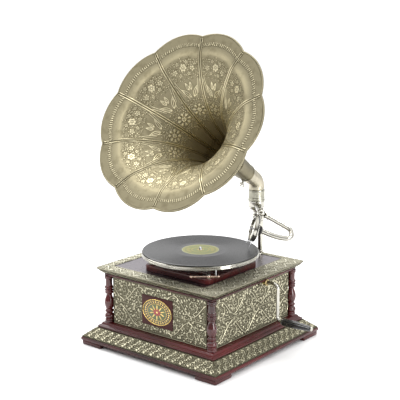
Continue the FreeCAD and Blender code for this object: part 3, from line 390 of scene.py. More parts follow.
    def sample(self, u, v):
        """Heights at any points, between the raster's own."""
        row = np.clip((u - self.along[0]) / (self.along[1] - self.along[0]), 0, len(self.along) - 1.001)
        column = np.clip((v - self.across[0]) / (self.across[1] - self.across[0]), 0,
                         len(self.across) - 1.001)
        i, j = row.astype(int), column.astype(int)
        a, b = row - i, column - j
        h = self.height
        return ((1 - a) * (1 - b) * h[i, j] + a * (1 - b) * h[i + 1, j]
                + (1 - a) * b * h[i, j + 1] + a * b * h[i + 1, j + 1])


def normals(points):
    """Unit normals of a grid of points."""
    direction = np.cross(np.gradient(points, axis=0), np.gradient(points, axis=1))
    return direction / (np.linalg.norm(direction, axis=-1, keepdims=True) + 1e-12)


def shell(front, back):
    """A thin closed sheet between two grids of points; the front's points come first."""
    rows, columns = front.shape[:2]
    index = np.arange(2 * rows * columns).reshape(2, rows, columns)
    near, far = index
    faces = [grid(front)[1], grid(back)[1][:, ::-1] + rows * columns]
    for first, second in ((far[0], near[0]), (near[-1], far[-1]), (near[:, 0], far[:, 0]),
                          (far[:, -1], near[:, -1])):
        faces.append(np.stack([first[:-1], first[1:], second[1:], second[:-1]], 1))
    return np.vstack([front.reshape(-1, 3), back.reshape(-1, 3)]), np.vstack(faces)


def front_only(values):
    """A mark for a shell: the values on its front and nothing on its back."""
    return np.concatenate([values.ravel(), 0 * values.ravel()])


# ---------------------------------------------------------------- materials

def new_material(name, colour, metallic=0.0, roughness=0.4, **sockets):
    """A material, its node tree and its shader; further sockets of the shader go by name."""
    made = bpy.data.materials.new(name)
    made.use_nodes = True
    tree = made.node_tree
    principled = tree.nodes["Principled BSDF"]
    principled.inputs["Base Color"].default_value = (*colour, 1)
    principled.inputs["Metallic"].default_value = metallic
    principled.inputs["Roughness"].default_value = roughness
    for socket, value in sockets.items():
        principled.inputs[socket.replace("_", " ")].default_value = value
    return made, tree, principled


def add(tree, kind, inputs=(), **settings):
    """A node with its inputs set or linked."""
    node = tree.nodes.new(kind)
    for key, value in settings.items():
        setattr(node, key, value)
    for key, value in dict(inputs).items():
        if isinstance(value, bpy.types.NodeSocket):
            tree.links.new(value, node.inputs[key])
        else:
            node.inputs[key].default_value = value
    return node


def object_place(tree, scale=(1, 1, 1), offset=(0, 0, 0)):
    """Texture place in the piece's own metres."""
    coordinates = add(tree, "ShaderNodeTexCoord")
    return add(tree, "ShaderNodeMapping", {"Vector": coordinates.outputs["Object"], "Scale": scale,
                                           "Location": tuple(offset)}).outputs["Vector"]


def mitred_place(tree):
    """Texture place in a square frame, turned so that X runs along the nearer board."""
    parts = add(tree, "ShaderNodeSeparateXYZ", {0: object_place(tree, offset=-CASE)}).outputs
    side = maths(tree, "GREATER_THAN", maths(tree, "ABSOLUTE", parts[0]),
                 maths(tree, "ABSOLUTE", parts[1]))
    first = add(tree, "ShaderNodeCombineXYZ", {0: parts[0], 1: parts[1], 2: parts[2]}).outputs[0]
    second = add(tree, "ShaderNodeCombineXYZ", {0: parts[1], 1: parts[0], 2: parts[2]}).outputs[0]
    return add(tree, "ShaderNodeMix", {0: side, 4: first, 5: second}, data_type="VECTOR").outputs[1]


def stretched(tree, place, scale):
    """A texture place scaled by its own amount on each axis."""
    return add(tree, "ShaderNodeMapping", {"Vector": place, "Scale": tuple(scale)}).outputs["Vector"]


def noise(tree, place, scale, detail=4.0, distortion=0.0):
    """Cloudy values from 0 to 1."""
    return add(tree, "ShaderNodeTexNoise", {"Vector": place, "Scale": scale, "Detail": detail,
                                            "Distortion": distortion}).outputs["Fac"]


def ramp(tree, value, *stops):
    """Colours, or greys, at places from 0 to 1 along a value."""
    node = add(tree, "ShaderNodeValToRGB", {"Fac": value})
    points = node.color_ramp.elements
    while len(points) < len(stops):
        points.new(0.5)
    for point, (at, colour) in zip(points, stops):
        point.position = at
        point.color = (*colour, 1) if isinstance(colour, tuple) else (colour, colour, colour, 1)
    return node.outputs["Color"]


def blend_colours(tree, share, first, second):
    """The first colour passing into the second as the share goes from 0 to 1."""
    node = add(tree, "ShaderNodeMix", data_type="RGBA")
    for socket, value in ((0, share), (6, first), (7, second)):
        if isinstance(value, bpy.types.NodeSocket):
            tree.links.new(value, node.inputs[socket])
        else:
            node.inputs[socket].default_value = (*value, 1) if isinstance(value, tuple) else value
    return node.outputs[2]


def maths(tree, operation, first, second=0.0):
    """One sum of two values."""
    return add(tree, "ShaderNodeMath", {0: first, 1: second}, operation=operation).outputs[0]


def bumped(tree, principled, height, distance, strength):
    """Leads a height to the shader as a bump of so many metres."""
    bump = add(tree, "ShaderNodeBump", {"Height": height, "Distance": distance, "Strength": strength})
    tree.links.new(bump.outputs["Normal"], principled.inputs["Normal"])


def mahogany(name, grain, coat=0.35):
    """Dark red varnished wood; grain is 0, 1 or 2 for fibres along X, Y or Z, or None in a frame."""
    made, tree, principled = new_material(name, (0.1, 0.02, 0.015), roughness=0.3, Coat_Weight=coat,
                                          Coat_Roughness=0.06, Specular_IOR_Level=0.25)
    fibre, pore = [46, 46, 46], [620, 620, 620]
    fibre[grain or 0], pore[grain or 0] = 3.2, 22
    place = mitred_place(tree) if grain is None else object_place(tree)
    figure = noise(tree, stretched(tree, place, fibre), 1.0, 6.0, 0.9)
    pores = noise(tree, stretched(tree, place, pore), 1.0, 2.0)
    cloud = noise(tree, object_place(tree), 9.0, 2.0)
    wood = ramp(tree, figure, (0.3, (0.012, 0.0015, 0.0015)), (0.52, (0.038, 0.0035, 0.0035)),
                (0.72, (0.08, 0.007, 0.007)))
    wood = blend_colours(tree, ramp(tree, pores, (0.34, 0.6), (0.46, 0.0)), wood, (0.014, 0.003, 0.003))
    wood = blend_colours(tree, ramp(tree, cloud, (0.35, 0.0), (0.7, 0.35)), wood, (0.15, 0.014, 0.016))
    tree.links.new(wood, principled.inputs["Base Color"])
    tree.links.new(ramp(tree, pores, (0.3, 0.5), (0.6, 0.26)), principled.inputs["Roughness"])
    bumped(tree, principled, pores, 0.0002, 0.25)
    return made


def antiqued(name, bright, worn, dark, fine=900.0, roughness=0.3, inner=1.0):
    """Embossed metal: dark patina and painted shade beside the relief, polish and a painted highlight on top;
    from the shoulder inward, shades made lighter by inner as painted light.
    """
    made, tree, principled = new_material(name, bright, 1.0, roughness)
    height = add(tree, "ShaderNodeAttribute", attribute_name="relief").outputs["Fac"]
    place = object_place(tree)
    grime = noise(tree, place, 60.0, 5.0)
    grain = noise(tree, place, fine, 3.0)
    cloud = noise(tree, place, 14.0, 3.0)
    height = maths(tree, "MULTIPLY", height, 0.7)
    wear_and_painted_light = maths(tree, "ADD", height, maths(tree, "MULTIPLY", maths(tree, "SUBTRACT", grime, 0.5), 0.2))
    # Along the relief's height: worn ground, then dark patina with painted shade at the relief's foot, then
    # polish with a painted highlight on its tops.
    shades = ((0.0, worn), (0.1, dark), (0.26, dark), (0.5, worn), (0.85, bright))
    outer, deep = ([(at, tuple(min(k * part, 1) for part in shade)) for at, shade in shades]
                   for k in (1, inner))
    depth = add(tree, "ShaderNodeAttribute", attribute_name="depth").outputs["Fac"]
    # Painted light by depth: a painted highlight band at the shoulder just inside the rim, then the lighter
    # inner shades further in.
    painted_light_by_depth = ramp(tree, depth, (0.026, 0.0), (0.046, 1.0), (0.075, 0.75), (0.13, 1.0))
    metal = blend_colours(tree, painted_light_by_depth, ramp(tree, wear_and_painted_light, *outer), ramp(tree, wear_and_painted_light, *deep))
    metal = blend_colours(tree, ramp(tree, cloud, (0.4, 0.0), (0.75, 0.35)), metal, worn)
    throat = ramp(tree, depth, (0.4, 0.0), (0.8, 0.45), (1.0, 0.7))
    metal = blend_colours(tree, throat, metal, (0.42, 0.34, 0.19))
    tree.links.new(metal, principled.inputs["Base Color"])
    tree.links.new(ramp(tree, wear_and_painted_light, (0.05, roughness + 0.22), (0.7, roughness)),
                   principled.inputs["Roughness"])
    bumped(tree, principled, grain, 0.0004, 0.45)
    return made


def polished(name, colour, roughness=0.08, streak=0.12):
    """Plated metal with faint clouding and hair scratches."""
    made, tree, principled = new_material(name, colour, 1.0, roughness)
    cloud = noise(tree, object_place(tree), 40.0, 4.0)
    hair = noise(tree, object_place(tree, (900, 900, 60)), 1.0, 2.0)
    tarnish = tuple(0.72 * part for part in colour)
    tree.links.new(blend_colours(tree, ramp(tree, cloud, (0.42, 0.0), (0.72, 0.5)), colour, tarnish),
                   principled.inputs["Base Color"])
    tree.links.new(ramp(tree, cloud, (0.35, roughness), (0.75, roughness + streak)),
                   principled.inputs["Roughness"])
    bumped(tree, principled, hair, 0.00005, 0.12)
    return made


def plain(name, colour, roughness, fine, depth, metallic=0.0, **sockets):
    """A quiet surface with a fine grain and slight changes of shade."""
    made, tree, principled = new_material(name, colour, metallic, roughness, **sockets)
    place = object_place(tree)
    grain = noise(tree, place, fine, 3.0)
    cloud = noise(tree, place, fine / 12, 3.0)
    shade = tuple(0.65 * part for part in colour)
    tree.links.new(blend_colours(tree, ramp(tree, cloud, (0.35, 0.0), (0.7, 0.7)), colour, shade),
                   principled.inputs["Base Color"])
    tree.links.new(ramp(tree, grain, (0.3, roughness), (0.7, min(1.0, roughness + 0.12))),
                   principled.inputs["Roughness"])
    bumped(tree, principled, grain, depth, 0.4)
    return made


# ---------------------------------------------------------------- finishes

FRAME_WOOD = mahogany("mahogany_frame", None)
POST_WOOD = mahogany("mahogany_posts", 2, 0.9)
BOARD_WOOD = mahogany("mahogany_board", 0)
EMBOSSED = antiqued("embossed_sheet", (0.60, 0.565, 0.41), (0.17, 0.158, 0.108), (0.03, 0.027, 0.017))
# A lighter copy of the embossed sheet's metal for the top border: painted light on the top, which faces up.
EMBOSSED_TOP_PAINTED_LIGHT = antiqued("embossed_top", (0.92, 0.90, 0.76), (0.48, 0.46, 0.36), (0.085, 0.08, 0.055),
                        roughness=0.5)
FIELD = polished("plain_sheet", (0.29, 0.265, 0.285), 0.24, 0.16)
NICKEL = polished("nickel", (0.52, 0.505, 0.45), 0.07)
AGED_NICKEL = polished("aged_nickel", (0.37, 0.36, 0.295), 0.15, 0.2)
COPPERED = polished("coppered_steel", (0.60, 0.44, 0.36), 0.2)
BRASS = polished("brass", (0.46, 0.36, 0.18), 0.3)
STEEL = polished("steel", (0.52, 0.52, 0.53), 0.25)
ELBOW_METAL = polished("satin_brass", (0.50, 0.46, 0.36), 0.36, 0.14)
# inner=1.75 paints the bell's shades lighter from the shoulder inward: painted light.
BELL = antiqued("bell_metal", (0.44, 0.395, 0.265), (0.20, 0.178, 0.115), (0.075, 0.062, 0.032),
                fine=700.0, roughness=0.36, inner=1.75)
GOLD = polished("badge_gold", (0.75, 0.55, 0.20), 0.24)
BADGE_GROUND = plain("badge_ground", (0.05, 0.008, 0.007), 0.35, 900.0, 0.0001, Specular_IOR_Level=0.25)
DARK_ENAMEL = plain("dark_enamel", (0.016, 0.018, 0.012), 0.28, 900.0, 0.0001, Coat_Weight=0.6)
GREEN_ENAMEL = plain("green_enamel", (0.085, 0.10, 0.02), 0.3, 900.0, 0.0001, Coat_Weight=0.6)
RED_ENAMEL = plain("red_enamel", (0.34, 0.025, 0.02), 0.3, 900.0, 0.0001, Coat_Weight=0.6)
LACQUER = plain("black_lacquer", (0.012, 0.012, 0.013), 0.16, 500.0, 0.0001, Coat_Weight=0.7)
RUBBER = plain("rubber", (0.022, 0.021, 0.02), 0.55, 900.0, 0.0003)
FELT = plain("felt", (0.03, 0.07, 0.035), 0.95, 1500.0, 0.0008)
SHELLAC = plain("shellac", (0.022, 0.022, 0.023), 0.26, 700.0, 0.00005, IOR=1.85)
IRON = plain("blackened_iron", (0.035, 0.036, 0.038), 0.5, 500.0, 0.0003, metallic=0.6)
MICA = polished("mica", (0.58, 0.56, 0.50), 0.10, 0.1)


# ---------------------------------------------------------------- case

# Half widths are out from the middle of the case, and levels are up from the floor.
RIM_HALF = span("plinth_board")[1][0]
BAND_HALF, _, STEP_LOW = span("plinth_sheet")[1]
BAND_LOW = span("plinth_sheet")[0][2]
STEP_HALF, _, STEP_TOP = span("base_moulding")[1] + (0.2, 0, 0)
WALL_HALF, NOTCH_HALF, WALL_TOP = span("wall_sheet_right")[1]
CORNICE_HALF, _, CORNICE_TOP = span("cornice")[1]
TOP_HALF, _, TOP_LEVEL = span("top_sheet")[1]
CAVITY_HALF = NOTCH_HALF + 2
BOARD_TOP = span("motor_board")[1][2]
FIELD_LOW, FIELD_HIGH = np.array((-139.0, -130.0)), np.array((113.0, 148.0))
WELL_LOW, WELL_HIGH = np.array((-62.0, -104.0)), np.array((99.0, 52.0))
BADGE_LOW, BADGE_HIGH = (corner[[0, 2]] for corner in span("badge_plate"))
OVAL_WIDE, OVAL_TALL = 41.0, 28.5
CRANK_Y, CRANK_LEVEL = middle("crank_bush")[1:]
BORES = (((CRANK_Y, CRANK_LEVEL), 7.0), ((15.9, 152.0), 3.2))
SIDES = ("front", "right", "back", "left")
CORNERS = {"front_right": (1, -1), "back_right": (1, 1), "back_left": (-1, 1), "front_left": (-1, -1)}
QUARTERS = [spin((0, 0, 1), 90 * k) for k in range(4)]


def feet():
    """Corner brackets, each arm ended by a small cove."""
    for corner in CORNERS:
        softened("bracket_" + corner, "foot_" + corner, "case", 2.4, FRAME_WOOD)


def plinth():
    """The plinth's board and band, the moulding above it and the cornice under the top."""
    outline = rounded([(0, 10), (187.2, 10), (RIM_HALF, 11.2), (RIM_HALF, 15.6), (187.6, 17),
                       (BAND_HALF - 0.4, BAND_LOW - 1), (STEP_HALF, STEP_LOW - 1.2),
                       (CAVITY_HALF, STEP_LOW - 1), (CAVITY_HALF, 15), (0, 15)], 1.0, 4)
    piece("plinth_carved", "case", square_ring(outline, 1.4, closed=False), FRAME_WOOD,
          ("plinth_board",))
    low, high = (BAND_HALF, BAND_LOW), (STEP_HALF, STEP_LOW)
    pattern = plinth_pattern(math.hypot(low[0] - high[0], low[1] - high[1]))
    sloped_sheet("embossed_plinth", "plinth_sheet", low, high, pattern, 0.7, 2.0)
    outline = rounded([(CAVITY_HALF, 37.9), (159.9, 37.9), (159.9, STEP_LOW), (161.7, STEP_LOW),
                       (161.7, 42.4), (159.6, 43.4), (158.9, 44.2), (156.2, 45.4), (154.8, 48.2),
                       (154.2, 49.2), (152.8, STEP_TOP), (CAVITY_HALF, STEP_TOP)], 0.8, 4)
    piece("moulding_carved", "case", square_ring(outline, 1.0), FRAME_WOOD,
          ("base_moulding",))
    outline = rounded([(118, 156), (148.2, 156), (CORNICE_HALF, 157.2), (CORNICE_HALF, 159.6),
                       (148.6, 160.3), (148.6, CORNICE_TOP), (118, CORNICE_TOP)], 0.7, 4)
    piece("cornice_carved", "case", square_ring(outline, 1.0), FRAME_WOOD, ("cornice",))


def edge_fade(points, low, high, reach):
    """0 at both ends of a range and 1 within it."""
    return np.clip(np.minimum(points - low, high - points) / reach, 0, 1)


def sloped_sheet(name, node, low, high, pattern, pitch, corner):
    """An embossed band round the case, mitred at its corners, from one (half, height) to another."""
    low, high = np.array(low), np.array(high)
    width = np.linalg.norm(high - low)
    outward = np.array((high[1] - low[1], low[0] - high[0])) / width
    across = np.linspace(0, 1, int(width / pitch) + 1)[:, None]
    along = np.linspace(-1, 1, int(2 * max(low[0], high[0]) / pitch) + 1)[None, :]
    half = low[0] + across * (high[0] - low[0])
    x = half * along
    height = pattern.sample(x, np.broadcast_to(across * width, x.shape))
    height = height * edge_fade(across * width, 0, width, 1.5) * edge_fade(x, -half, half, 2)
    base = np.stack([x, np.broadcast_to(-half, x.shape),
                     np.broadcast_to(low[1] + across * (high[1] - low[1]), x.shape)], -1)
    normal = np.array((0, -outward[0], outward[1]))
    side = shell(base + normal * height[..., None], base - normal * 0.8)
    marks = {"relief": front_only(height)}
    for where, turn in zip(SIDES, QUARTERS):
        shape = corner_rounded(moved(side, turn), max(low[0], high[0]), corner)
        piece(name + "_" + where, "case", shape, EMBOSSED, (node,), marks)


def plinth_pattern(width):
    """Slanting stems, each with a spiral at both ends and leaves between."""
    made = Relief((-RIM_HALF, 0), (RIM_HALF, width), 0.5)
    unit = 20.0
    for k in range(-10, 11):
        t = np.linspace(-1, 1, 25)
        u = k * unit + 11 * t + 3.0 * np.sin(math.pi * t)
        v = width / 2 + 0.40 * width * np.sin(math.pi * t / 2)
        made.cord(np.stack([u, v], 1), 0.95, 1.4)
        for side in (-1, 1):
            turn = np.linspace(0, 4.8, 16)
            reach = 5.6 * (1 - 0.14 * turn)
            spot = (k * unit + side * 8.0, (0.5 + 0.17 * side) * width)
            curl = np.stack([spot[0] - side * reach * np.cos(turn), spot[1] + side * reach * np.sin(turn)], 1)
            made.cord(curl, 0.95, 1.4)
            made.dome(curl[-1], 1.6, 1.5)
            made.leaf((u[12 + 3 * side], v[12 + 3 * side]), 2.4 if side > 0 else -0.7, 6.0, 1.6, 1.4)
            made.leaf((u[12 + 7 * side], v[12 + 7 * side]), 2.7 if side > 0 else -0.4, 7.0, 1.7, 1.4)
            made.leaf((u[12 - 2 * side], v[12 - 2 * side]), 1.2 + (0 if side > 0 else math.pi), 6.0, 1.6, 1.3)
    for level in (1.0, width - 1.0):
        made.cord([(-RIM_HALF, level), (RIM_HALF, level)], 0.9, 0.8)
    made.foliage(4.4, 4.8, 1.4, 5)
    made.foliage(3.0, 3.0, 1.3, 6)
    return made


def vine(made, middle, swing, period, start, end, width, tall, scroll, seed):
    """A waving stem with a spiral in each of its bays and teardrop leaves along it."""
    u = np.arange(start, end + 1, 1.0)
    phase = (u - start) * math.tau / period
    made.cord(np.stack([u, middle + swing * np.sin(phase)], 1), width, tall)
    draw = np.random.default_rng(seed)
    for k in range(int(2 * (end - start) / period)):
        centre = start + (k + 0.5) * period / 2
        below = 1 if k % 2 else -1
        spot = (centre + 0.03 * period, middle + below * 0.30 * swing)
        made.scroll(spot, scroll, -below * 1.4, 1.35, below, 0.8 * width, 0.9 * tall)
        for step in (0.14, 0.42, 0.7):
            at = start + (k + step) * period / 2
            level = middle + swing * math.sin((at - start) * math.tau / period)
            aim = math.atan2(-below, 0.5) + draw.uniform(-0.5, 0.5)
            made.leaf((at, level), aim + (0 if step < 0.5 else math.pi), 0.68 * scroll, 0.17 * scroll,
                      0.88 * tall)


def wall_pattern(shift):
    """Two waving vines, one above and one below a straight rib."""
    made = Relief((-NOTCH_HALF, STEP_TOP), (NOTCH_HALF, WALL_TOP), 0.6)
    middle = (STEP_TOP + WALL_TOP) / 2
    for level, start in ((middle - 25.5, shift), (middle + 25.5, shift - 40)):
        vine(made, level, 18, 95, -NOTCH_HALF - 95 + start, NOTCH_HALF + 95, 1.3, 1.6, 14.0,
             int(level))
    for level, width, tall in ((middle, 1.2, 1.3), (STEP_TOP + 1.6, 1.1, 1.1), (WALL_TOP - 1.6, 1.0, 0.9)):
        made.cord([(-NOTCH_HALF, level), (NOTCH_HALF, level)], width, tall)
    for end in (-NOTCH_HALF + 1.6, NOTCH_HALF - 1.6):
        made.cord([(end, STEP_TOP), (end, WALL_TOP)], 1.0, 0.7)
    made.foliage(6.0, 8.8, 1.5, 11)
    made.foliage(5.0, 5.4, 1.3, 12)
    return made


def bored(shape, bores):
    """A flat sheet drawn as a grid, with round holes; places are its second and third coordinates."""
    points, faces = shape
    points = points.copy()
    for centre, radius in bores:
        offset = points[:, 1:] - np.array(centre)
        gap = np.linalg.norm(offset, axis=1)
        inside = gap < radius
        faces = faces[~inside[faces].all(1)]
        points[inside, 1:] = np.array(centre) + offset[inside] / (gap[inside, None] + 1e-9) * radius
    return points, faces


def wall_sheets():
    """Embossed sheets between the columns, the right one bored for the crank."""
    margin, thick = 0.6, 0.95
    for name, quarter, shift in zip(SIDES, QUARTERS, (0, 30, 0, 30)):
        pattern = wall_pattern(shift)
        u = np.linspace(-NOTCH_HALF, NOTCH_HALF, 341)[:, None]
        v = np.linspace(STEP_TOP, WALL_TOP, 141)[None, :]
        u, v = np.broadcast_arrays(u, v)
        height = pattern.sample(u, v) * edge_fade(u, -NOTCH_HALF, NOTCH_HALF, 1.0)
        if name == "front":
            behind = ((u > BADGE_LOW[0] - margin) & (u < BADGE_HIGH[0] + margin)
                      & (v > BADGE_LOW[1] - margin) & (v < BADGE_HIGH[1] + margin))
            height = np.where(behind, 0, height)
        front = np.stack([u, -WALL_HALF - height, v], -1)
        back = np.stack([u, np.full(u.shape, thick - WALL_HALF), v], -1)
        shape = moved(shell(front, back), quarter)
        if name == "right":
            shape = bored(shape, BORES)
        piece("embossed_wall_" + name, "case", shape, EMBOSSED,
              ("wall_sheet_" + name,), {"relief": front_only(height)})


def columns():
    """Four turned posts in the notches of the case's corners."""
    outline = [(0, 0), (10.4, 0), (10.4, 2.6), (9.6, 3.2), (9.6, 4.6), (10.3, 6), (8.8, 8.6), (9.4, 10),
               (10.7, 12.4), (10.5, 15.4), (9.6, 18), (7.0, 20.4), (7.0, 21.6), (8.6, 23.4), (9.7, 25.6),
               (8.6, 27.8), (7.0, 29.4), (7.0, 30.6), (8.4, 33), (10.0, 38), (10.7, 44), (10.3, 49),
               (8.6, 55), (6.8, 60), (6.3, 62.6), (6.5, 64.6), (8.4, 66), (9.5, 68), (8.2, 70), (8.2, 71),
               (9.7, 72.4), (9.6, 73.8), (7.6, 75), (7.6, 76.2), (9.4, 77.8), (9.9, 79.4), (9, 81.4),
               (7.5, 83.2), (7.3, 88), (7.5, 97), (8.2, 98.2), (9.4, 100), (9.4, 101.6), (8.6, 102.4),
               (9.6, 103.4), (9.6, 106), (0, 106)]
    out = WALL_HALF - 0.1
    for corner, (x, y) in CORNERS.items():
        shape = moved(lathe(outline, 64, 0.8), None, (x * out, y * out, STEP_TOP))
        piece("turned_" + corner, "case", shape, POST_WOOD, ("column_" + corner,))


def corner_rounded(shape, half, radius):
    """Draws in whatever lies beyond a radius at the corners of a square."""
    points, faces = shape
    points = points.copy()
    over = np.maximum(np.abs(points[:, :2]) - (half - radius), 0)
    reach = np.hypot(over[:, 0], over[:, 1])
    scale = np.where(over.min(1) > 0, over.max(1) / (reach + 1e-9), 1)
    points[:, :2] -= np.sign(points[:, :2]) * over * (1 - scale[:, None])
    return points, faces


def framed(outer_low, outer_high, inner_low, inner_high, pitch, height_at, level, under):
    """The four sides of a flat sheet between two rectangles: shapes, and how far each stands proud."""
    corners = ((0, 0), (1, 0), (1, 1), (0, 1), (0, 0))
    outer = [np.array([(outer_low, outer_high)[i][0], (outer_low, outer_high)[j][1]]) for i, j in corners]
    inner = [np.array([(inner_low, inner_high)[i][0], (inner_low, inner_high)[j][1]]) for i, j in corners]
    sides = []
    for k in range(4):
        length = np.linalg.norm(outer[k + 1] - outer[k])
        wide = np.abs(np.array(outer[k]) - inner[k]).max()
        t = np.linspace(0, 1, int(length / pitch) + 1)[None, :, None]
        s = np.linspace(0, 1, max(int(wide / pitch), 2) + 1)[:, None, None]
        spot = (1 - s) * (outer[k] + t * (outer[k + 1] - outer[k])) \
            + s * (inner[k] + t * (inner[k + 1] - inner[k]))
        height = height_at(spot[..., 0], spot[..., 1])
        front = np.concatenate([spot, level + height[..., None]], -1)
        back = np.concatenate([spot, np.full(height.shape + (1,), under)], -1)
        sides.append((shell(front, back), front_only(height)))
    return sides


def top_pattern():
    """Small dense scrolls round the edge of the top, between two beads."""
    made = Relief((-TOP_HALF, -TOP_HALF), (TOP_HALF, TOP_HALF), 0.7)
    turned = Relief((-TOP_HALF, -TOP_HALF), (TOP_HALF, TOP_HALF), 0.7)
    vine(made, -TOP_HALF + 16.5, 8.5, 37, -TOP_HALF + 6, TOP_HALF - 6, 1.0, 1.2, 7.6, 21)
    vine(made, TOP_HALF - 8.4, 4.4, 24, -TOP_HALF + 6, TOP_HALF - 6, 0.8, 1.1, 4.2, 22)
    vine(turned, TOP_HALF - 38, 8, 37, -TOP_HALF + 30, TOP_HALF - 14, 1.0, 1.2, 7.6, 23)
    vine(turned, TOP_HALF - 14, 8, 37, -TOP_HALF + 30, TOP_HALF - 14, 1.0, 1.2, 7.6, 24)
    vine(turned, -TOP_HALF + 12, 7, 33, -TOP_HALF + 30, TOP_HALF - 14, 1.0, 1.2, 7.0, 25)
    made.height = np.maximum(made.height, turned.height.T)
    corners = [FIELD_LOW, (FIELD_HIGH[0], FIELD_LOW[1]), FIELD_HIGH, (FIELD_LOW[0], FIELD_HIGH[1])]
    for start, end in zip(corners, corners[1:] + corners[:1]):
        made.cord([start, end], 1.2, 0.75)
    rim = TOP_HALF - 1.3
    square = [(-rim, -rim), (rim, -rim), (rim, rim), (-rim, rim), (-rim, -rim)]
    made.cord(square, 1.1, 0.7)

    def in_band(x, y):
        """Whether a place is outside the plain field."""
        return (x < FIELD_LOW[0] or x > FIELD_HIGH[0] or y < FIELD_LOW[1] or y > FIELD_HIGH[1])

    made.foliage(5.2, 6.0, 1.2, 26, in_band)
    made.foliage(3.8, 3.6, 1.0, 27, in_band)
    return made


def top():
    """Embossed lip and border, a plain field within it and the raised motor board."""
    lip = Relief((-TOP_HALF, 0), (TOP_HALF, 18.1), 0.5)
    vine(lip, 9.0, 4.6, 29, -TOP_HALF, TOP_HALF, 0.9, 1.1, 5.0, 31)
    for level in (1.0, 17.0):
        lip.cord([(-TOP_HALF, level), (TOP_HALF, level)], 0.9, 0.7)
    lip.foliage(4.2, 4.8, 1.1, 32)
    sloped_sheet("embossed_lip", "top_sheet", (CORNICE_HALF + 1, CORNICE_TOP),
                 (TOP_HALF, TOP_LEVEL), lip, 0.8, 8.0)
    pattern = top_pattern()
    edge = np.array((TOP_HALF, TOP_HALF))
    border = framed(-edge, edge, FIELD_LOW, FIELD_HIGH, 0.8, pattern.sample, TOP_LEVEL, TOP_LEVEL - 0.8)
    for side, (shape, marks) in zip(SIDES, border):
        piece("embossed_border_" + side, "case", corner_rounded(shape, TOP_HALF, 8.0), EMBOSSED_TOP_PAINTED_LIGHT,
              ("top_sheet",), {"relief": marks})

    def hammered(x, y):
        """The field's slight waves."""
        return 0.10 * np.sin(x / 13.0 + 0.6 * np.sin(y / 19.0)) * np.sin(y / 11.0)

    field = framed(FIELD_LOW, FIELD_HIGH, WELL_LOW, WELL_HIGH, 4.0, hammered, TOP_LEVEL - 0.1,
                   TOP_LEVEL - 0.8)
    piece("plain_field", "case", joined(*(shape for shape, marks in field)), FIELD,
          ("top_sheet",))
    softened("raised_board", "motor_board", "case", 2.6, BOARD_WOOD)


def badge():
    """Oval ornament on a square plate: rope rim, ring of gold leaves and beads, a red flower."""
    face = -WALL_HALF - 1.5
    low = (BADGE_LOW[0], face, BADGE_LOW[1])
    high = (BADGE_HIGH[0], -WALL_HALF, BADGE_HIGH[1])
    piece("badge_back", "case", slab(low, high, 0.5), BADGE_GROUND, ("badge_plate",))
    middle_x, middle_z = (BADGE_LOW + BADGE_HIGH) / 2
    stand = spin((1, 0, 0), 90)
    place = (middle_x, face, middle_z)

    def oval(outline):
        """A flat turned field drawn into an oval."""
        points, faces = lathe(outline, 96, 0.2)
        return moved((points * (1, OVAL_TALL / OVAL_WIDE, 1), faces), stand, place)

    def ring(share, thick, beads):
        """A rope at a share of the oval's size."""
        angles = np.arange(288) * math.tau / 288
        line = np.stack([share * OVAL_WIDE * np.cos(angles), share * OVAL_TALL * np.sin(angles),
                         np.full(288, 0.35)], 1)
        twist = thick * (1 + 0.22 * np.cos(beads * angles))
        return moved(sweep(line, twist, 10, closed=True), stand, place)

    def petals(count, reach, size, turn, lift):
        """Flattened beads set round an oval, each pointing outward."""
        made = []
        for k in range(count):
            angle = turn + k * math.tau / count
            bead = moved(ball((0, 0, 0), 1, 12), Matrix.Diagonal((size[0], size[1], 0.5)))
            spot = (reach * math.cos(angle), reach * OVAL_TALL / OVAL_WIDE * math.sin(angle), lift)
            made.append(moved(moved(bead, Matrix.Rotation(angle, 3, "Z"), spot), stand, place))
        return joined(*made)

    for name, shape, material in (
            ("badge_dark_ring", oval([(0, 0), (39.5, 0), (39.5, 0.45), (0, 0.45)]), DARK_ENAMEL),
            ("badge_green_field", oval([(0, 0.3), (26.4, 0.3), (26.4, 0.62), (0, 0.72)]), GREEN_ENAMEL),
            ("badge_rope_rim", ring(0.955, 1.25, 72), GOLD),
            ("badge_inner_rope", ring(0.645, 0.75, 56), GOLD),
            ("badge_leaf_ring", petals(30, 32.6, (3.2, 1.15), 0, 0.45), GOLD),
            ("badge_bead_ring", petals(30, 32.8, (0.9, 0.9), math.tau / 60, 0.5), GOLD),
            ("badge_gold_leaves", petals(10, 15.5, (6.2, 1.5), 0.3, 0.6), GOLD),
            ("badge_red_petals", petals(7, 6.4, (4.6, 2.5), 0.2, 0.75), RED_ENAMEL),
            ("badge_flower_eye", petals(1, 0.0, (2.6, 2.6), 0, 0.95), GOLD)):
        piece(name, "case", shape, material, ("badge_oval",))


def bush():
    """The crank's flanged bearing in the right wall."""
    outline = [(4.1, 0), (6.95, 0), (6.95, 24), (7, 24.3), (7, 25.2), (6.4, 25.6), (5.2, 25.7), (4.6, 25.2),
               (4.1, 25)]
    shape = moved(lathe(outline + outline[:1], 64), spin((0, 1, 0), 90), (126, CRANK_Y, CRANK_LEVEL))
    piece("bush_turned", "case", shape, BRASS, ("crank_bush",))


# ---------------------------------------------------------------- turntable

SPINDLE = middle("spindle") * (1, 1, 0)


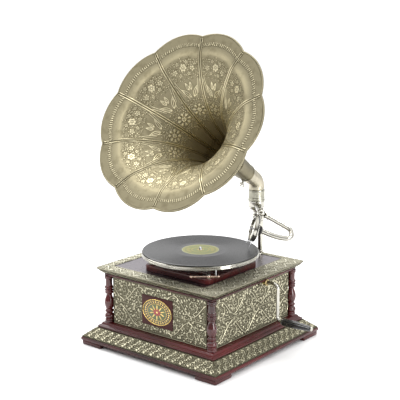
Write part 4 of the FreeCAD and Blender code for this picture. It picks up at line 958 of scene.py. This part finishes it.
def label_material():
    """Green and gold printed rings with a wreath of small strokes."""
    made, tree, principled = new_material("label_print", (0.4, 0.42, 0.16), roughness=0.5)
    place = object_place(tree, offset=-(CASE + SPINDLE * MM))
    parts = add(tree, "ShaderNodeSeparateXYZ", {0: place}).outputs
    radius = add(tree, "ShaderNodeVectorMath", {0: add(tree, "ShaderNodeCombineXYZ", {
        0: parts[0], 1: parts[1]}).outputs[0]}, operation="LENGTH").outputs["Value"]
    angle = maths(tree, "ARCTAN2", parts[1], parts[0])
    share = maths(tree, "DIVIDE", radius, 40 * MM)
    gold, green, pale = (0.42, 0.30, 0.08), (0.19, 0.21, 0.075), (0.34, 0.355, 0.19)
    rings = ramp(tree, share, (0.0, pale), (0.16, gold), (0.20, green), (0.44, green), (0.46, gold),
                 (0.50, green), (0.86, green), (0.885, gold), (0.915, green), (0.97, pale))
    strokes = maths(tree, "SINE", maths(tree, "MULTIPLY", angle, 34.0))
    belt = ramp(tree, share, (0.56, 0.0), (0.60, 1.0), (0.74, 1.0), (0.78, 0.0))
    wreath = maths(tree, "MULTIPLY", ramp(tree, strokes, (0.5, 0.0), (0.62, 1.0)), belt)
    halves = ramp(tree, maths(tree, "SINE", maths(tree, "MULTIPLY", angle, 2.0)), (0.3, 0.0), (0.45, 1.0))
    wreath = maths(tree, "MULTIPLY", wreath, halves)
    tree.links.new(blend_colours(tree, wreath, rings, gold), principled.inputs["Base Color"])
    bumped(tree, principled, noise(tree, place, 1500.0), 0.0001, 0.3)
    return made


def turntable():
    """Ribbed platter, frayed felt, grooved record with its label, and the spindle."""
    groove_in, groove_out, high = 57.0, 121.5, 1.9
    outline = [(125.2, 206.4), (126.1, 206.8), (126.5, 207.8), (126.2, 208.8), (125.4, 209.3),
               (125.2, 210.2), (125.5, 211), (126.2, 211.5), (126.5, 212.5), (126.2, 213.5), (125.4, 214.1),
               (122.7, 214.1), (122.5, 213.6), (3.6, 213.6),
               (3.6, 196), (11, 196), (14, 199), (14, 210.5), (60, 210.5), (62, 209.9), (64, 210.5),
               (122.6, 210.5), (123.6, 207.4), (124.2, 206.4), (125.2, 206.4)]
    shape = moved(lathe(outline, 160, 0.3), None, SPINDLE)
    piece("platter_turned", "turntable", shape, NICKEL, ("platter",))
    points, faces = lathe([(3.7, 213.65), (121.6, 213.65), (122, 214.0), (121.6, 214.75), (3.7, 214.75),
                           (3.7, 213.65)], 160)
    outer = np.hypot(points[:, 0], points[:, 1]) > 95
    frayed = 1 + 0.0022 * outer * np.sin(23 * np.arctan2(points[:, 1], points[:, 0]))
    piece("felt_cut", "turntable", moved((points * frayed[:, None] ** (1, 1, 0), faces), None, SPINDLE),
          FELT, ("felt_mat",))
    outline = [(3.65, 0), (123.9, 0), (124.8, 0.5), (125, 0.95), (124.8, 1.4), (123.9, high)]
    edge_count = int((groove_out - groove_in) / 0.62)
    for k, radius in enumerate(np.linspace(groove_out, groove_in, 2 * edge_count + 1)):
        outline.append((radius, high - (0.10 if k % 2 else 0.0)))
    outline += [(groove_in - 0.6, high - 0.12), (42.5, high - 0.12), (41.2, high), (3.65, high), (3.65, 0)]
    shape = moved(lathe(outline, 192), None, SPINDLE + (0, 0, span("record")[0][2]))
    piece("record_pressed", "turntable", shape, SHELLAC, ("record",))
    outline = [(3.65, 0), (39.7, 0), (40, 0.07), (39.7, 0.15), (35.6, 0.15), (35.3, 0.1), (35.0, 0.15),
               (19.4, 0.15), (19.0, 0.1), (18.6, 0.15), (3.65, 0.15), (3.65, 0)]
    shape = moved(lathe(outline, 128), None, SPINDLE + (0, 0, span("label")[0][2]))
    piece("label_printed", "turntable", shape, label_material(), ("label",))
    outline = [(0, 79), (2.4, 79), (2.4, 82), (3.6, 82), (3.6, 217.6), (3.3, 218.2), (3.3, 219.4),
               (2.7, 221.6), (1.4, 222.8), (0, 223)]
    piece("spindle_turned", "turntable", moved(lathe(outline, 48), None, SPINDLE), STEEL,
          ("spindle",))


def brake():
    """Coppered lever with a ball at each end and three collars, its felt shoe and its screw."""
    turn = spin((0, 0, 1), 40)
    post = middle("brake_post") * (1, 1, 0)
    origin = post + (0, 0, middle("brake_lever")[2])
    hub = lathe(rounded([(2.3, -1.9), (4.6, -1.9), (4.6, 2.3), (2.3, 2.3), (2.3, -1.9)], 0.5), 48)
    tail, nose = -36, 20
    along = [(x, 0, 0) for x in np.linspace(tail, nose, 57)]
    thick = [2.2 + 0.7 * math.exp(-(x / 9.0) ** 2) + 0.35 * math.exp(-((abs(x) - 26) / 6.0) ** 2)
             for x, _, _ in along]
    halves = [sweep(along[:33], thick[:33], 20), sweep(along[40:], thick[40:], 20)]
    collars = [moved(lathe([(0, 0), (2.4, 0), (3.0, 0.3), (3.0, 0.9), (2.4, 1.2), (0, 1.2)], 32),
                     spin((0, 1, 0), 90), (x, 0, 0)) for x in (6.4, 8.9, 11.4)]
    knobs = [ball((tail, 0, 0), 3.1), ball((nose, 0, 0), 2.9)]
    piece("brake_cast", "brake", moved(joined(hub, *halves, *collars, *knobs), turn, origin), COPPERED,
          ("brake_lever",))
    stem = moved(lathe([(0, 0), (1.2, 0), (1.2, 13), (0, 13)], 20), None, (15, 0, 1.6))
    pad = slab((13, -2, 14.6), (17, 2, 18.6), 0.7)
    piece("shoe_felt", "brake", moved(pad, turn, origin), FELT, ("brake_shoe",))
    piece("shoe_stem", "brake", moved(stem, turn, origin), STEEL, ("brake_shoe",))
    outline = [(0, 0), (4.4, 0), (4.4, 0.9), (3.8, 1.4), (2.2, 1.4), (2.2, 6.2), (3.4, 6.2), (3.6, 6.6),
               (3.6, 7.3), (2.9, 8.2), (1.4, 8.6), (0, 8.6)]
    piece("brake_screw", "case", moved(lathe(outline, 40), None, post + (0, 0, BOARD_TOP)), NICKEL,
          ("brake_post",))


def speed_control():
    """Knurled knob with a pointer; its rod goes down to the governor."""
    points, faces = lathe([(0, -62), (3, -62), (3, 0.2), (6.4, 0.3), (7, 0.8), (7, 3.4), (6.3, 4.2),
                           (3.4, 4.3), (2.6, 3.8), (0, 3.7)], 96)
    outer = np.hypot(points[:, 0], points[:, 1]) > 6.6
    knurl = 1 - 0.03 * outer * (np.arange(len(points)) % 4 < 2)
    pointer = slab((3, -1.6, 0.3), (15, 1.6, 1.7), 0.5)
    nose = ball((14.2, 0, 1.5), 1.1, 16)
    shape = joined((points * knurl[:, None] ** (1, 1, 0), faces), pointer, nose)
    shape = moved(shape, None, (-56, -98, BOARD_TOP))
    piece("speed_knob", "speed", shape, NICKEL, ("speed_lever",))


# ---------------------------------------------------------------- upright, sound arm, sound box

PIVOT = middle("spigot") * (1, 1, 0)
ARM_TURN = spin((0, 0, 1), 43.6 - 90)
ARM_ORIGIN = PIVOT + (0, 0, 288)
BOX_TILT = math.radians(17)
BOX_FRONT = np.array((87 + 21, -18.8 - 5.5 * math.cos(BOX_TILT), -30 + 5.5 * math.sin(BOX_TILT)))
BOX_TURN = spin((1, 0, 0), -90 - math.degrees(BOX_TILT))


def upright():
    """Column with ringed foot and neck, and a yoke that carries the pivot."""
    outline = [(0, 174.1), (6, 174.1), (6, 180), (6.6, 180.6), (6.6, 181.8), (6, 182.4), (6, 250.4),
               (6.6, 251), (6.6, 252.4), (6, 253), (6, 264), (0, 264)]
    column = moved(lathe(outline, 48, 0.4), None, (51, 151, 0))
    flange = moved(lathe([(0, 174.1), (8.4, 174.1), (8.4, 175.8), (7.6, 177.2), (6.6, 177.5), (0, 177.5)],
                         48, 0.4), None, (50, 147, 0))
    screws = [moved(lathe([(0, 0), (1.6, 0), (1.5, 0.5), (0.8, 0.9), (0, 0.9)], 20), None, spot)
              for spot in ((44.6, 142.6, 176.9), (55.2, 142.8, 176.9))]
    piece("upright_turned", "case", joined(column, flange, *screws), NICKEL, ("pillar",))
    angles = np.arange(64)[:, None] * math.tau / 64
    ends = np.where(np.cos(angles - math.atan2(1, 11)) > 0, (51.0, 151.0), PIVOT[:2])
    rings = []
    for level, reach in ((256, 0), (256, 8.7), (256.8, 9.5), (263.2, 9.5), (264, 8.7), (264, 0)):
        edge = ends + reach * np.hstack([np.cos(angles), np.sin(angles)])
        flat = edge if reach else 0 * edge + (45.5, 150.5)
        rings.append(np.hstack([flat, np.full((64, 1), level)]))
    piece("yoke_cast", "case", grid(np.array(rings), wrap_columns=True), NICKEL, ("pillar",))
    outline = [(3.2, 264), (7.4, 264), (8, 264.6), (8, 265.4), (7, 265.8), (5.6, 266.2), (5.5, 266.6),
               (5.5, 311.6), (5.1, 312), (3.2, 312), (3.2, 264)]
    piece("spigot_turned", "case", moved(lathe(outline, 48), None, PIVOT), NICKEL, ("spigot",))


def sound_arm():
    """The cup that swings on the spigot and the tapered tube with its knuckle."""
    cup = [(5.6, 271.5), (8.9, 271.5), (9.5, 272), (9.7, 273), (11, 274.5), (13.6, 275.8), (16.2, 278.2),
           (17.3, 280.4), (17.5, 282), (17.5, 283.4), (18, 284), (17.5, 284.6), (17.5, 292.6), (18.3, 293.6),
           (18.5, 294.4), (18.5, 296.2), (18, 297), (5.6, 297), (5.6, 271.5)]
    piece("swivel_turned", "arm", moved(lathe(cup, 72, 0.35), None, PIVOT), NICKEL,
          ("swivel_cup",))
    tube = [(0, 13), (8.35, 13), (8.1, 22), (8.7, 22.6), (8.7, 24.4), (8.0, 25), (6.85, 70), (8.2, 70.6),
            (8.6, 71.4), (8.6, 74.4), (8.2, 75.2), (6.7, 75.8), (6.6, 80)]
    arc = np.linspace(-0.95, math.pi / 2, 16)
    tube += [(7.6 * math.cos(a), 87 + 7.6 * math.sin(a)) for a in arc]
    shape = moved(moved(lathe(tube, 56), spin((0, 1, 0), 90)), ARM_TURN, ARM_ORIGIN)
    piece("arm_drawn", "arm", shape, NICKEL, ("arm_tube",))


def gooseneck():
    """Hairpin tube that swings up from the arm's end."""
    path = rounded([(87, 6.86, -4.12), (87, 64, -38.4), (108, 64, -55.32), (108, -5.42, -34.09)],
                   11.5, 14, 0.49)
    path = dense(path, 2.0)
    lower = path[:, 0] > 107.9
    share = np.clip((path[:, 1] + 5.42) / 62, 0, 1)
    path[:, 2] -= lower * 3.6 * np.sin(math.pi * share ** 1.2)
    tube = sweep(path, 5.6, 32)
    along = np.array((0, 64 - 6.86, -38.4 + 4.12))
    ferrule = lathe([(0, 0), (6.8, 0), (7.2, 0.5), (7.2, 3.6), (6.4, 4.6), (6.4, 8.8), (7, 9.4), (7, 10.8),
                     (6.4, 11.2), (0, 11.2)], 48, 0.3)
    ferrule = moved(ferrule, heading(along), (87, 6.86, -4.12))
    ring = moved(lathe([(5.5, 0), (6.3, 0.4), (6.3, 2.2), (5.5, 2.6)], 40), heading(along),
                 (87, 46, -27.6))
    piece("gooseneck_bent", "gooseneck_unit", moved(joined(tube, ferrule, ring), ARM_TURN, ARM_ORIGIN),
          NICKEL, ("gooseneck",))


def on_box(shape, lean=0.0):
    """Places a shape drawn in the sound box's own frame: X ahead, Y down, Z to the hairpin."""
    shape = moved(shape, spin((0, 0, 1), -lean)) if lean else shape
    return moved(moved(shape, BOX_TURN, BOX_FRONT), ARM_TURN, ARM_ORIGIN)


def sound_box():
    """Turned shell with its band and screws, rubber flange, mica sheet, stylus bar and needle."""
    outline = [(5.7, 9), (5.7, 14), (8.2, 14), (8.6, 13.4), (9.5, 11.4), (14, 11.2), (14.6, 10.8),
               (15.2, 11.2), (24.6, 11.2), (26, 11), (27.3, 10), (27.3, 1.2), (26.6, 0), (25.4, -0.2),
               (24.6, 0), (24.3, 0.6), (24.0, 1.6), (24.0, 9), (5.7, 9)]
    shell_shape = lathe(outline, 96, 0.3)
    screws = []
    for k in range(6):
        angle = math.tau * (k + 0.5) / 6
        head = lathe([(0, 0), (1.5, 0), (1.5, -0.6), (1.0, -1.0), (0, -1.0)], 16)
        screws.append(moved(head, None, (25.6 * math.cos(angle), 25.6 * math.sin(angle), 0)))
    piece("box_turned", "gooseneck_unit", on_box(joined(shell_shape, *screws)), NICKEL,
          ("sound_box_shell",))
    band = [(27.2, 6.6), (27.8, 6.8), (28.0, 7.2), (28.0, 8.4), (27.8, 8.8), (27.2, 9), (27.2, 6.6)]
    piece("box_band", "gooseneck_unit", on_box(lathe(band, 96)), LACQUER,
          ("sound_box_shell",))
    flange = [(5.7, 14), (9.6, 14), (10.4, 15), (9.4, 15.9), (10.4, 16.7), (9.4, 17.6), (10.4, 18.5),
              (9.2, 19.8), (8, 21.5), (5.7, 21.5), (5.7, 14)]
    piece("flange_ribbed", "gooseneck_unit", on_box(lathe(flange, 56, 0.2)), RUBBER,
          ("rubber_flange",))
    sheet = [(0, 3.0), (6, 3.02), (9, 3.2), (12, 3.02), (15, 3.2), (18, 3.02), (23.9, 3.1), (23.9, 3.4),
             (18, 3.4), (0, 3.4)]
    piece("mica_sheet", "gooseneck_unit", on_box(lathe(sheet, 72)), MICA, ("diaphragm",))
    bar = sweep([(0, -1.5, -1.5), (0, 8, -1.6), (0, 20, -1.7), (0, 29.6, -1.5)], (1.25, 1.0, 0.95, 1.3), 16)
    post = slab((-1.5, 28.2, -2.2), (1.5, 31.2, 4.4), 0.4)
    screw = lathe([(0, -3.2), (1.2, -3.2), (1.5, -2.8), (1.5, 3), (0, 3)], 24)
    down = spin((1, 0, 0), -90)
    chuck = moved(lathe([(0.85, 0), (2.3, 0), (2.7, 0.5), (2.7, 6.8), (2.1, 8), (0.85, 8), (0.85, 0)], 32),
                  down, (0, 28.2, 4.4))
    wing = moved(lathe([(0, -4.6), (1.5, -4.6), (1.9, -4.2), (1.9, -2.6), (1.2, -2.2), (1.2, 2.4), (0, 2.4)],
                       24), None, (0, 33.2, 0))
    piece("stylus_cast", "gooseneck_unit", on_box(joined(bar, post, screw, chuck, wing), 11.7), STEEL,
          ("stylus_bar",))
    point = moved(lathe([(0, 0), (0.8, 0), (0.8, 9.5), (0.72, 10.4), (0.12, 14.77), (0, 14.77)], 20), down,
                  (0, 29.5, 4.4))
    piece("needle_ground", "gooseneck_unit", on_box(point, 11.7), STEEL, ("needle",))


# ---------------------------------------------------------------- elbow and horn

HORN_ORIGIN = PIVOT + (0, 0, 342)
HORN_TURN = spin((0, 0, 1), 1.8) @ spin((1, 0, 0), 59)
# Its length; how far the edge reaches at a seam and at a petal's tip; where the neck ends; and how far in
# the depth mark comes to 1.
LENGTH, NOTCH, TIP, NECK_JOIN, DEEP = 328.0, 184.5, 194.0, 103.0, 190.0
NOTCH_TURN = math.radians(21.7)
PETALS = 10
HALF_PETAL = math.pi / PETALS
PROFILE = [(44, 18.6), (LENGTH - 232, 24), (LENGTH - 185, 31.5), (LENGTH - 140, 42), (LENGTH - 100, 57),
           (LENGTH - 66, 78), (LENGTH - 40, 103), (LENGTH - 22, 128), (LENGTH - 9.2, 152),
           (LENGTH - 4.2, 174), (LENGTH, 200)]


def on_horn(shape):
    """Places a shape drawn with the horn's axis along Z."""
    return moved(shape, HORN_TURN, HORN_ORIGIN)


def smooth(points, count):
    """A smooth curve through points, as many places as asked, evenly spread along it."""
    points = np.array(points, float)
    at = distances(points)
    slope = np.gradient(points, at, axis=0)
    where = np.linspace(0, at[-1], count)
    k = np.clip(np.searchsorted(at, where, side="right") - 1, 0, len(at) - 2)
    gap = (at[k + 1] - at[k])[:, None]
    t = ((where - at[k]) / (at[k + 1] - at[k]))[:, None]
    return ((2 * t ** 3 - 3 * t ** 2 + 1) * points[k] + (t ** 3 - 2 * t ** 2 + t) * gap * slope[k]
            + (3 * t ** 2 - 2 * t ** 3) * points[k + 1] + (t ** 3 - t ** 2) * gap * slope[k + 1])


def lobe(angle):
    """Reach of the scalloped edge at an angle from the middle of its petal."""
    half_chord = NOTCH * math.sin(HALF_PETAL)
    rise = TIP - NOTCH * math.cos(HALF_PETAL)
    bow = (half_chord ** 2 + rise ** 2) / (2 * rise)
    centre = TIP - bow
    return centre * np.cos(angle) + np.sqrt(bow ** 2 - (centre * np.sin(angle)) ** 2)


def petal_pattern(reach, half_width):
    """Flowers, a fan of leaves and a row of dashes, by distance along the petal and across it."""
    made = Relief((0, -62), (reach[-1][0], 62), 0.55)
    lengths, radii = np.array(reach).T

    def at(radius):
        """How far along the petal it has a radius."""
        return float(np.interp(radius, radii, lengths))

    for k in range(-10, 11):
        made.cord([(at(171), 4.8 * k), (at(177), 4.95 * k)], 1.1, 1.5)
    big, small = at(131), at(66)
    made.flower((big + 2, 0), 9.0, 6, 1.7, 0.3)
    for side in (-1, 1):
        made.flower((big - 2, side * 21), 6.4, 5, 1.5, 0.5)
        made.flower((big + 12, side * 11), 4.6, 5, 1.4)
        made.flower((big - 12, side * 10), 4.6, 5, 1.4)
        made.outline((at(84), side * 3), side * 0.62, 27, 4.0, 1.0, 1.6)
        made.outline((at(95), side * 2.5), side * 0.2, 17, 3.0, 0.9, 1.6)
        made.cord([(at(82), side * 8), (at(112), side * 27)], 0.9, 1.4)
        made.cord([(at(88), side * 16), (at(110), side * 30)], 0.9, 1.4)
    made.flower((small, 0), 6.0, 6, 1.8)
    for k in range(8):
        angle = (k + 0.5) * math.tau / 8
        foot = (small + 6.4 * math.cos(angle), 6.4 * math.sin(angle))
        made.leaf(foot, angle, 8.5, 1.9, 1.7)
        made.flower((small + 12 * math.cos(angle), 12 * math.sin(angle)), 3.6, 5, 1.7, angle)
    for aim in (-0.5, 0.0, 0.5):
        made.leaf((at(34), 1.2 * aim), aim, 15, 1.8, 1.2)

    def in_bouquet(u, v):
        """Whether a place is in one of the two ragged beds of flowers."""
        radius = np.interp(u, lengths, radii)
        edge = np.interp(u, lengths, half_width)
        ragged = math.sin(0.55 * v) + math.sin(0.31 * v + 1)
        outer = 112 + 1.6 * ragged < radius < 149 - 0.06 * abs(v) + 1.4 * ragged and abs(v) < 0.86 * edge
        inner = 50 + 1.5 * ragged < radius < 83 + 1.5 * ragged and abs(v) < 0.88 * edge
        return outer or inner

    made.foliage(4.6, 5.0, 1.5, 41, in_bouquet)
    made.foliage(3.4, 3.0, 1.4, 42, in_bouquet)
    return made


def skin(profile, angles, relief, push):
    """Points of the horn's skin; relief and push move them inward along the skin's normal."""
    radius, along = profile[:, 1][:, None], profile[:, 0][:, None]
    share = np.clip((along - 60) / (LENGTH - 60), 0, 1) ** 1.6
    rim = np.clip((radius - 100) / (TIP - 100), 0, 1)
    off_middle = (angles - NOTCH_TURN) % (2 * HALF_PETAL) - HALF_PETAL
    full = (lobe(off_middle) - NOTCH) / (TIP - NOTCH)
    scale = radius / TIP
    reach = radius - (TIP - NOTCH) * (1 - full) * np.maximum(rim, 0) ** 0.8 * scale
    shoulder = np.exp(-((radius - 151) / 7.0) ** 2)
    pillow = (2.6 * share + 3.4 * shoulder) * full
    points = np.stack([reach * np.cos(angles), reach * np.sin(angles),
                       np.broadcast_to(along, reach.shape)], -1)
    inward = normals(points)
    inward = inward * np.where(inward[..., 2:] < 0, -1, 1)
    return points + inward * (push + pillow * 0.6 + relief)[..., None]


def horn():
    """A drawn neck and ten pressed petals seamed edge to edge."""
    whole = smooth(PROFILE, 400)
    end = np.searchsorted(whole[:, 1], TIP)
    edge_share = (TIP - whole[end - 1, 1]) / (whole[end, 1] - whole[end - 1, 1])
    rim = whole[end - 1] + edge_share * (whole[end] - whole[end - 1])
    whole = np.vstack([whole[:end], rim])
    neck = whole[whole[:, 0] <= NECK_JOIN + 1]
    petal = smooth(whole[whole[:, 0] >= NECK_JOIN], 310)
    thick = 1.2
    lengths = distances(petal)
    half_width = petal[:, 1] * HALF_PETAL
    pattern = petal_pattern(list(zip(lengths, petal[:, 1])), half_width)
    spread = np.linspace(-1, 1, 125)[None, :] * HALF_PETAL
    across = petal[:, 1][:, None] * spread
    relief = pattern.sample(np.broadcast_to(lengths[:, None], across.shape), across)
    from_edge = half_width[:, None] - np.abs(across)
    seam = 1.7 * np.exp(-((from_edge - 2.3) / 1.15) ** 2)
    fade = np.clip((lengths[-1] - lengths) / 3.0, 0, 1)[:, None]
    # The colour mark keeps the relief's full height while the skin is raised only half as much, so the dashes
    # and flowers carry a painted highlight beyond their own relief.
    height = np.maximum(relief, seam) * fade
    lift = np.maximum(0.5 * relief, 0.8 * seam) * fade
    depth = np.clip((LENGTH - petal[:, 0]) / DEEP, 0, 1)[:, None] * np.ones(across.shape)
    for k in range(PETALS):
        angles = NOTCH_TURN + (2 * k + 1) * HALF_PETAL + spread
        inner = skin(petal, angles, lift, thick)
        outer = skin(petal, angles, 0.8 * lift, 0.0)
        marks = {"relief": np.tile(height.ravel(), 2), "depth": front_only(depth)}
        piece("petal_%d" % k, "horn", on_horn(shell(inner, outer)), BELL,
              ("horn_petals",), marks)
    outline = [(radius, along) for along, radius in neck]
    rings = [(19.2, 45.6), (19.9, 46.6), (19.9, 48.6), (19.3, 49.6)]
    outline = outline[:1] + rings + [spot for spot in outline if spot[1] > 51]
    inner = [(radius - thick, along) for along, radius in neck[::-1]]
    shape = lathe(outline + inner + outline[:1], 96)
    level = np.clip((LENGTH - shape[0][:, 2]) / DEEP, 0, 1)
    inside = np.repeat(np.repeat((False, True, False), (len(outline), len(inner), 1)), 96)
    piece("neck_drawn", "horn", on_horn(shape), BELL, ("horn_neck",),
          {"relief": 0.72, "depth": level * inside})
    angles = np.arange(720) * math.tau / 720
    off_middle = (angles - NOTCH_TURN) % (2 * HALF_PETAL) - HALF_PETAL
    reach = lobe(off_middle) + 1.6
    line = np.stack([reach * np.cos(angles), reach * np.sin(angles), np.full(720, LENGTH)], 1)
    piece("rim_rolled", "horn", on_horn(sweep(line, 1.9, 14, closed=True)), BELL,
          ("rim_wire",), {"relief": 0.8, "depth": 0.0})


def elbow():
    """Chrome sleeve, then a satin tube that turns up into the horn's neck."""
    outline = [(5.7, 297.4), (18.6, 297.4), (19.1, 297.9), (19.1, 300.2), (18.3, 301.2), (18.3, 304.4),
               (18.7, 305), (18.3, 305.6), (18.3, 318.8), (18.7, 319.4), (18.3, 320), (18.3, 322),
               (14.8, 322), (14.8, 301.4), (5.7, 301.4), (5.7, 297.4)]
    piece("sleeve_turned", "horn", moved(lathe(outline, 72, 0.3), None, PIVOT), AGED_NICKEL,
          ("sleeve",))
    axis = np.array(HORN_TURN @ Vector((0, 0, 1)))
    away = -np.array((axis[0], axis[1], 0)) / math.hypot(axis[0], axis[1])
    path = rounded([PIVOT + (0, 0, 322), HORN_ORIGIN, HORN_ORIGIN + 56 * axis], 24, 18, 0.95)
    path = dense(path, 1.5)
    along = distances(path)
    radius = 17.2 + 0.8 * np.exp(-((along - 44) / 0.9) ** 2) + 0.5 * np.exp(-((along - 47) / 0.7) ** 2)

    def slanted(points, level):
        """The height of a plane that rises towards the outside of the bend, below each point."""
        return level + 0.34 * ((points - PIVOT) @ away)

    points, faces = sweep(path, radius, 64, caps=False)
    raised = np.maximum(points[:, 2], slanted(points, 326.4))
    points[:, 2] = np.where(points[:, 2] < 345, raised, points[:, 2])
    bore = sweep(path[::-1], 15.8, 64, caps=False)
    ring_angles = np.arange(72) * math.tau / 72
    lip_line = PIVOT + np.stack([17.3 * np.cos(ring_angles), 17.3 * np.sin(ring_angles), 0 * ring_angles], 1)
    lip_line[:, 2] = slanted(lip_line, 326.6)
    lip = sweep(lip_line, 0.75, 12, closed=True)
    piece("elbow_drawn", "horn", joined((points, faces), bore, lip), ELBOW_METAL, ("elbow",))
    collar = [(15.9, 322), (17.9, 322), (18.2, 322.6), (17.9, 323.2), (16.9, 323.6), (16.9, 330), (15.9, 330)]
    shape = moved(lathe(collar + collar[:1], 72), None, PIVOT)
    piece("elbow_collar", "horn", shape, AGED_NICKEL, ("elbow",))


def thumb_screw():
    """Cast screw with a scrolled wing."""
    outline = [(0, 0), (4.2, 0), (4.6, 0.5), (4.6, 1.8), (3.8, 2.4), (2.6, 2.6), (2.6, 5.6), (3.2, 6.2),
               (3.2, 7.2), (2.4, 7.8), (0, 7.8)]
    stem = lathe(outline, 40)
    wing = []
    for side in (-1, 1):
        turns = np.linspace(0, 1, 26)
        angle = math.pi / 2 + side * (0.5 - 4.4 * turns)
        reach = 4.3 * (1 - 0.62 * turns)
        wing.append(sweep(np.stack([0 * turns, side * 4.6 + reach * np.cos(angle),
                                    9.6 + reach * np.sin(angle)], 1), 1.7 - 0.5 * turns, 14))
    wing.append(ball((0, 0, 8.4), 3.0, 20))
    turn = HORN_TURN @ spin((1, 0, 0), 90)
    spot = HORN_ORIGIN + 50 * np.array(HORN_TURN @ Vector((0, 0, 1)))
    shape = moved(moved(joined(stem, *wing), None, (0, 0, 19.55)), turn, spot)
    piece("thumb_screw_cast", "horn", shape, NICKEL, ("thumb_screw",))


# ---------------------------------------------------------------- crank and motor

def crank():
    """Bent rod with the pin that carries the turned grip."""
    low = CRANK_LEVEL - 79.5
    path = rounded([(0.67, CRANK_Y, CRANK_LEVEL), (178.5, CRANK_Y, CRANK_LEVEL), (178.5, CRANK_Y, low),
                    (191.5, CRANK_Y, low)], 10, 12, 0.8)
    rod = sweep(dense(path, 4), 4, 32)
    along = spin((0, 1, 0), 90)
    boss = moved(lathe([(0, 0), (5.4, 0), (6, 0.6), (6, 2.4), (5.4, 3), (0, 3)], 40), along,
                 (189.6, CRANK_Y, low))
    pin = moved(lathe([(0, -2), (3, -2), (3, 73.3), (4.6, 73.4), (4.6, 74.4), (3.8, 75.2), (2, 75.3),
                       (0, 75.3)], 36), along, (191, CRANK_Y, low))
    piece("crank_forged", "crank", joined(rod, boss, pin), NICKEL, ("crank_rod",))
    outline = [(3.15, 0), (6.4, 0), (7.2, 0.5), (7.8, 1.3), (7.2, 2.2), (7.4, 3), (8.4, 4.2), (8.4, 12),
               (8.2, 22), (7.6, 34), (6.8, 48), (6.1, 58), (5.7, 65), (5.2, 68.6), (4.4, 70.6), (3.15, 71),
               (3.15, 0)]
    piece("grip_turned", "crank_handle", moved(lathe(outline, 56, 0.8), along, (193, CRANK_Y, low)), LACQUER,
          ("crank_grip",))


def finished(material, *nodes):
    """A material for CAD nodes that are shown as they are."""
    for node in nodes:
        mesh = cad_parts[node].data
        mesh.materials.clear()
        mesh.materials.append(material)


def inside():
    """The carcass and the motor keep their CAD shapes and get their finishes here."""
    finished(FRAME_WOOD, "case_walls", "top_board")
    finished(BRASS, "spindle_wheels", "second_wheel", "winding_pinion", "winding_wheel")
    finished(IRON, "lower_plate", "upper_plate", "spring_barrel")
    finished(STEEL, "mainspring", "governor", "hanging_bolts")


# ---------------------------------------------------------------- studio

LIGHTS = {"key": ((-1.5, 0.3, 2.6), 2.8, 72), "front": ((-0.9, -2.4, 2.3), 0.8, 24),
          "side": ((2.2, 0.9, 2.2), 0.8, 18), "low": ((1.5, -0.1, 0.35), 0.5, 9)}


def studio():
    """A pale round floor, a pale sky that is darker low in front, and four soft lights."""
    floor = bpy.data.meshes.new("floor")
    angles = np.arange(64) * math.tau / 64
    floor.from_pydata([(60 * math.cos(a), 60 * math.sin(a), -0.0003) for a in angles], [],
                      [list(range(64))])
    floor.materials.append(new_material("backdrop", (0.93, 0.93, 0.93), roughness=0.9)[0])
    ground = bpy.data.objects.new("floor", floor)
    bpy.context.scene.collection.objects.link(ground)
    world = bpy.data.worlds.new("studio")
    world.use_nodes = True
    tree = world.node_tree
    direction = add(tree, "ShaderNodeTexCoord").outputs["Generated"]
    parts = add(tree, "ShaderNodeSeparateXYZ", {0: direction}).outputs
    front = add(tree, "ShaderNodeVectorMath", {0: direction, 1: (0.62, -0.78, 0)},
                operation="DOT_PRODUCT").outputs["Value"]
    front = ramp(tree, maths(tree, "ADD", front, 0.5), (0.1, 0.1), (0.8, 0.75))
    low = ramp(tree, parts[2], (0.22, 1.0), (0.6, 0.0))
    shade = maths(tree, "SUBTRACT", ramp(tree, parts[2], (0.55, 0.98), (0.95, 1.6)),
                  maths(tree, "MULTIPLY", low, front))
    tree.links.new(shade, tree.nodes["Background"].inputs["Color"])
    tree.nodes["Background"].inputs["Strength"].default_value = 1.0
    bpy.context.scene.world = world
    for name, (place, size, power) in LIGHTS.items():
        light = bpy.data.lights.new(name, "AREA")
        light.size = size
        light.energy = power
        lamp = bpy.data.objects.new(name, light)
        lamp.location = place
        lamp.rotation_euler = (Vector((0, 0, 0.3)) - Vector(place)).to_track_quat("-Z", "Y").to_euler()
        bpy.context.scene.collection.objects.link(lamp)


def camera():
    """The photo's own view, fitted to the case; angles are in degrees and the place in metres."""
    around, down, roll = 38.97, 12.73, -0.11
    place = (1.2953, -1.6288, 0.7982)
    lens = bpy.data.cameras.new("camera")
    lens.sensor_width = 36
    lens.lens = 90.65
    lens.clip_end = 200
    seen = bpy.data.objects.new("camera", lens)
    seen.matrix_world = (Matrix.Translation(place) @ Matrix.Rotation(math.radians(around), 4, "Z")
                         @ Matrix.Rotation(math.radians(90 - down), 4, "X")
                         @ Matrix.Rotation(math.radians(roll), 4, "Z"))
    bpy.context.scene.collection.objects.link(seen)
    bpy.context.scene.camera = seen


for build in (feet, plinth, wall_sheets, columns, top, badge, bush, turntable, brake, speed_control, upright,
              sound_arm, gooseneck, sound_box, horn, elbow, thumb_screw, crank, inside, studio, camera):
    build()
bpy.context.scene.view_settings.view_transform = "Standard"
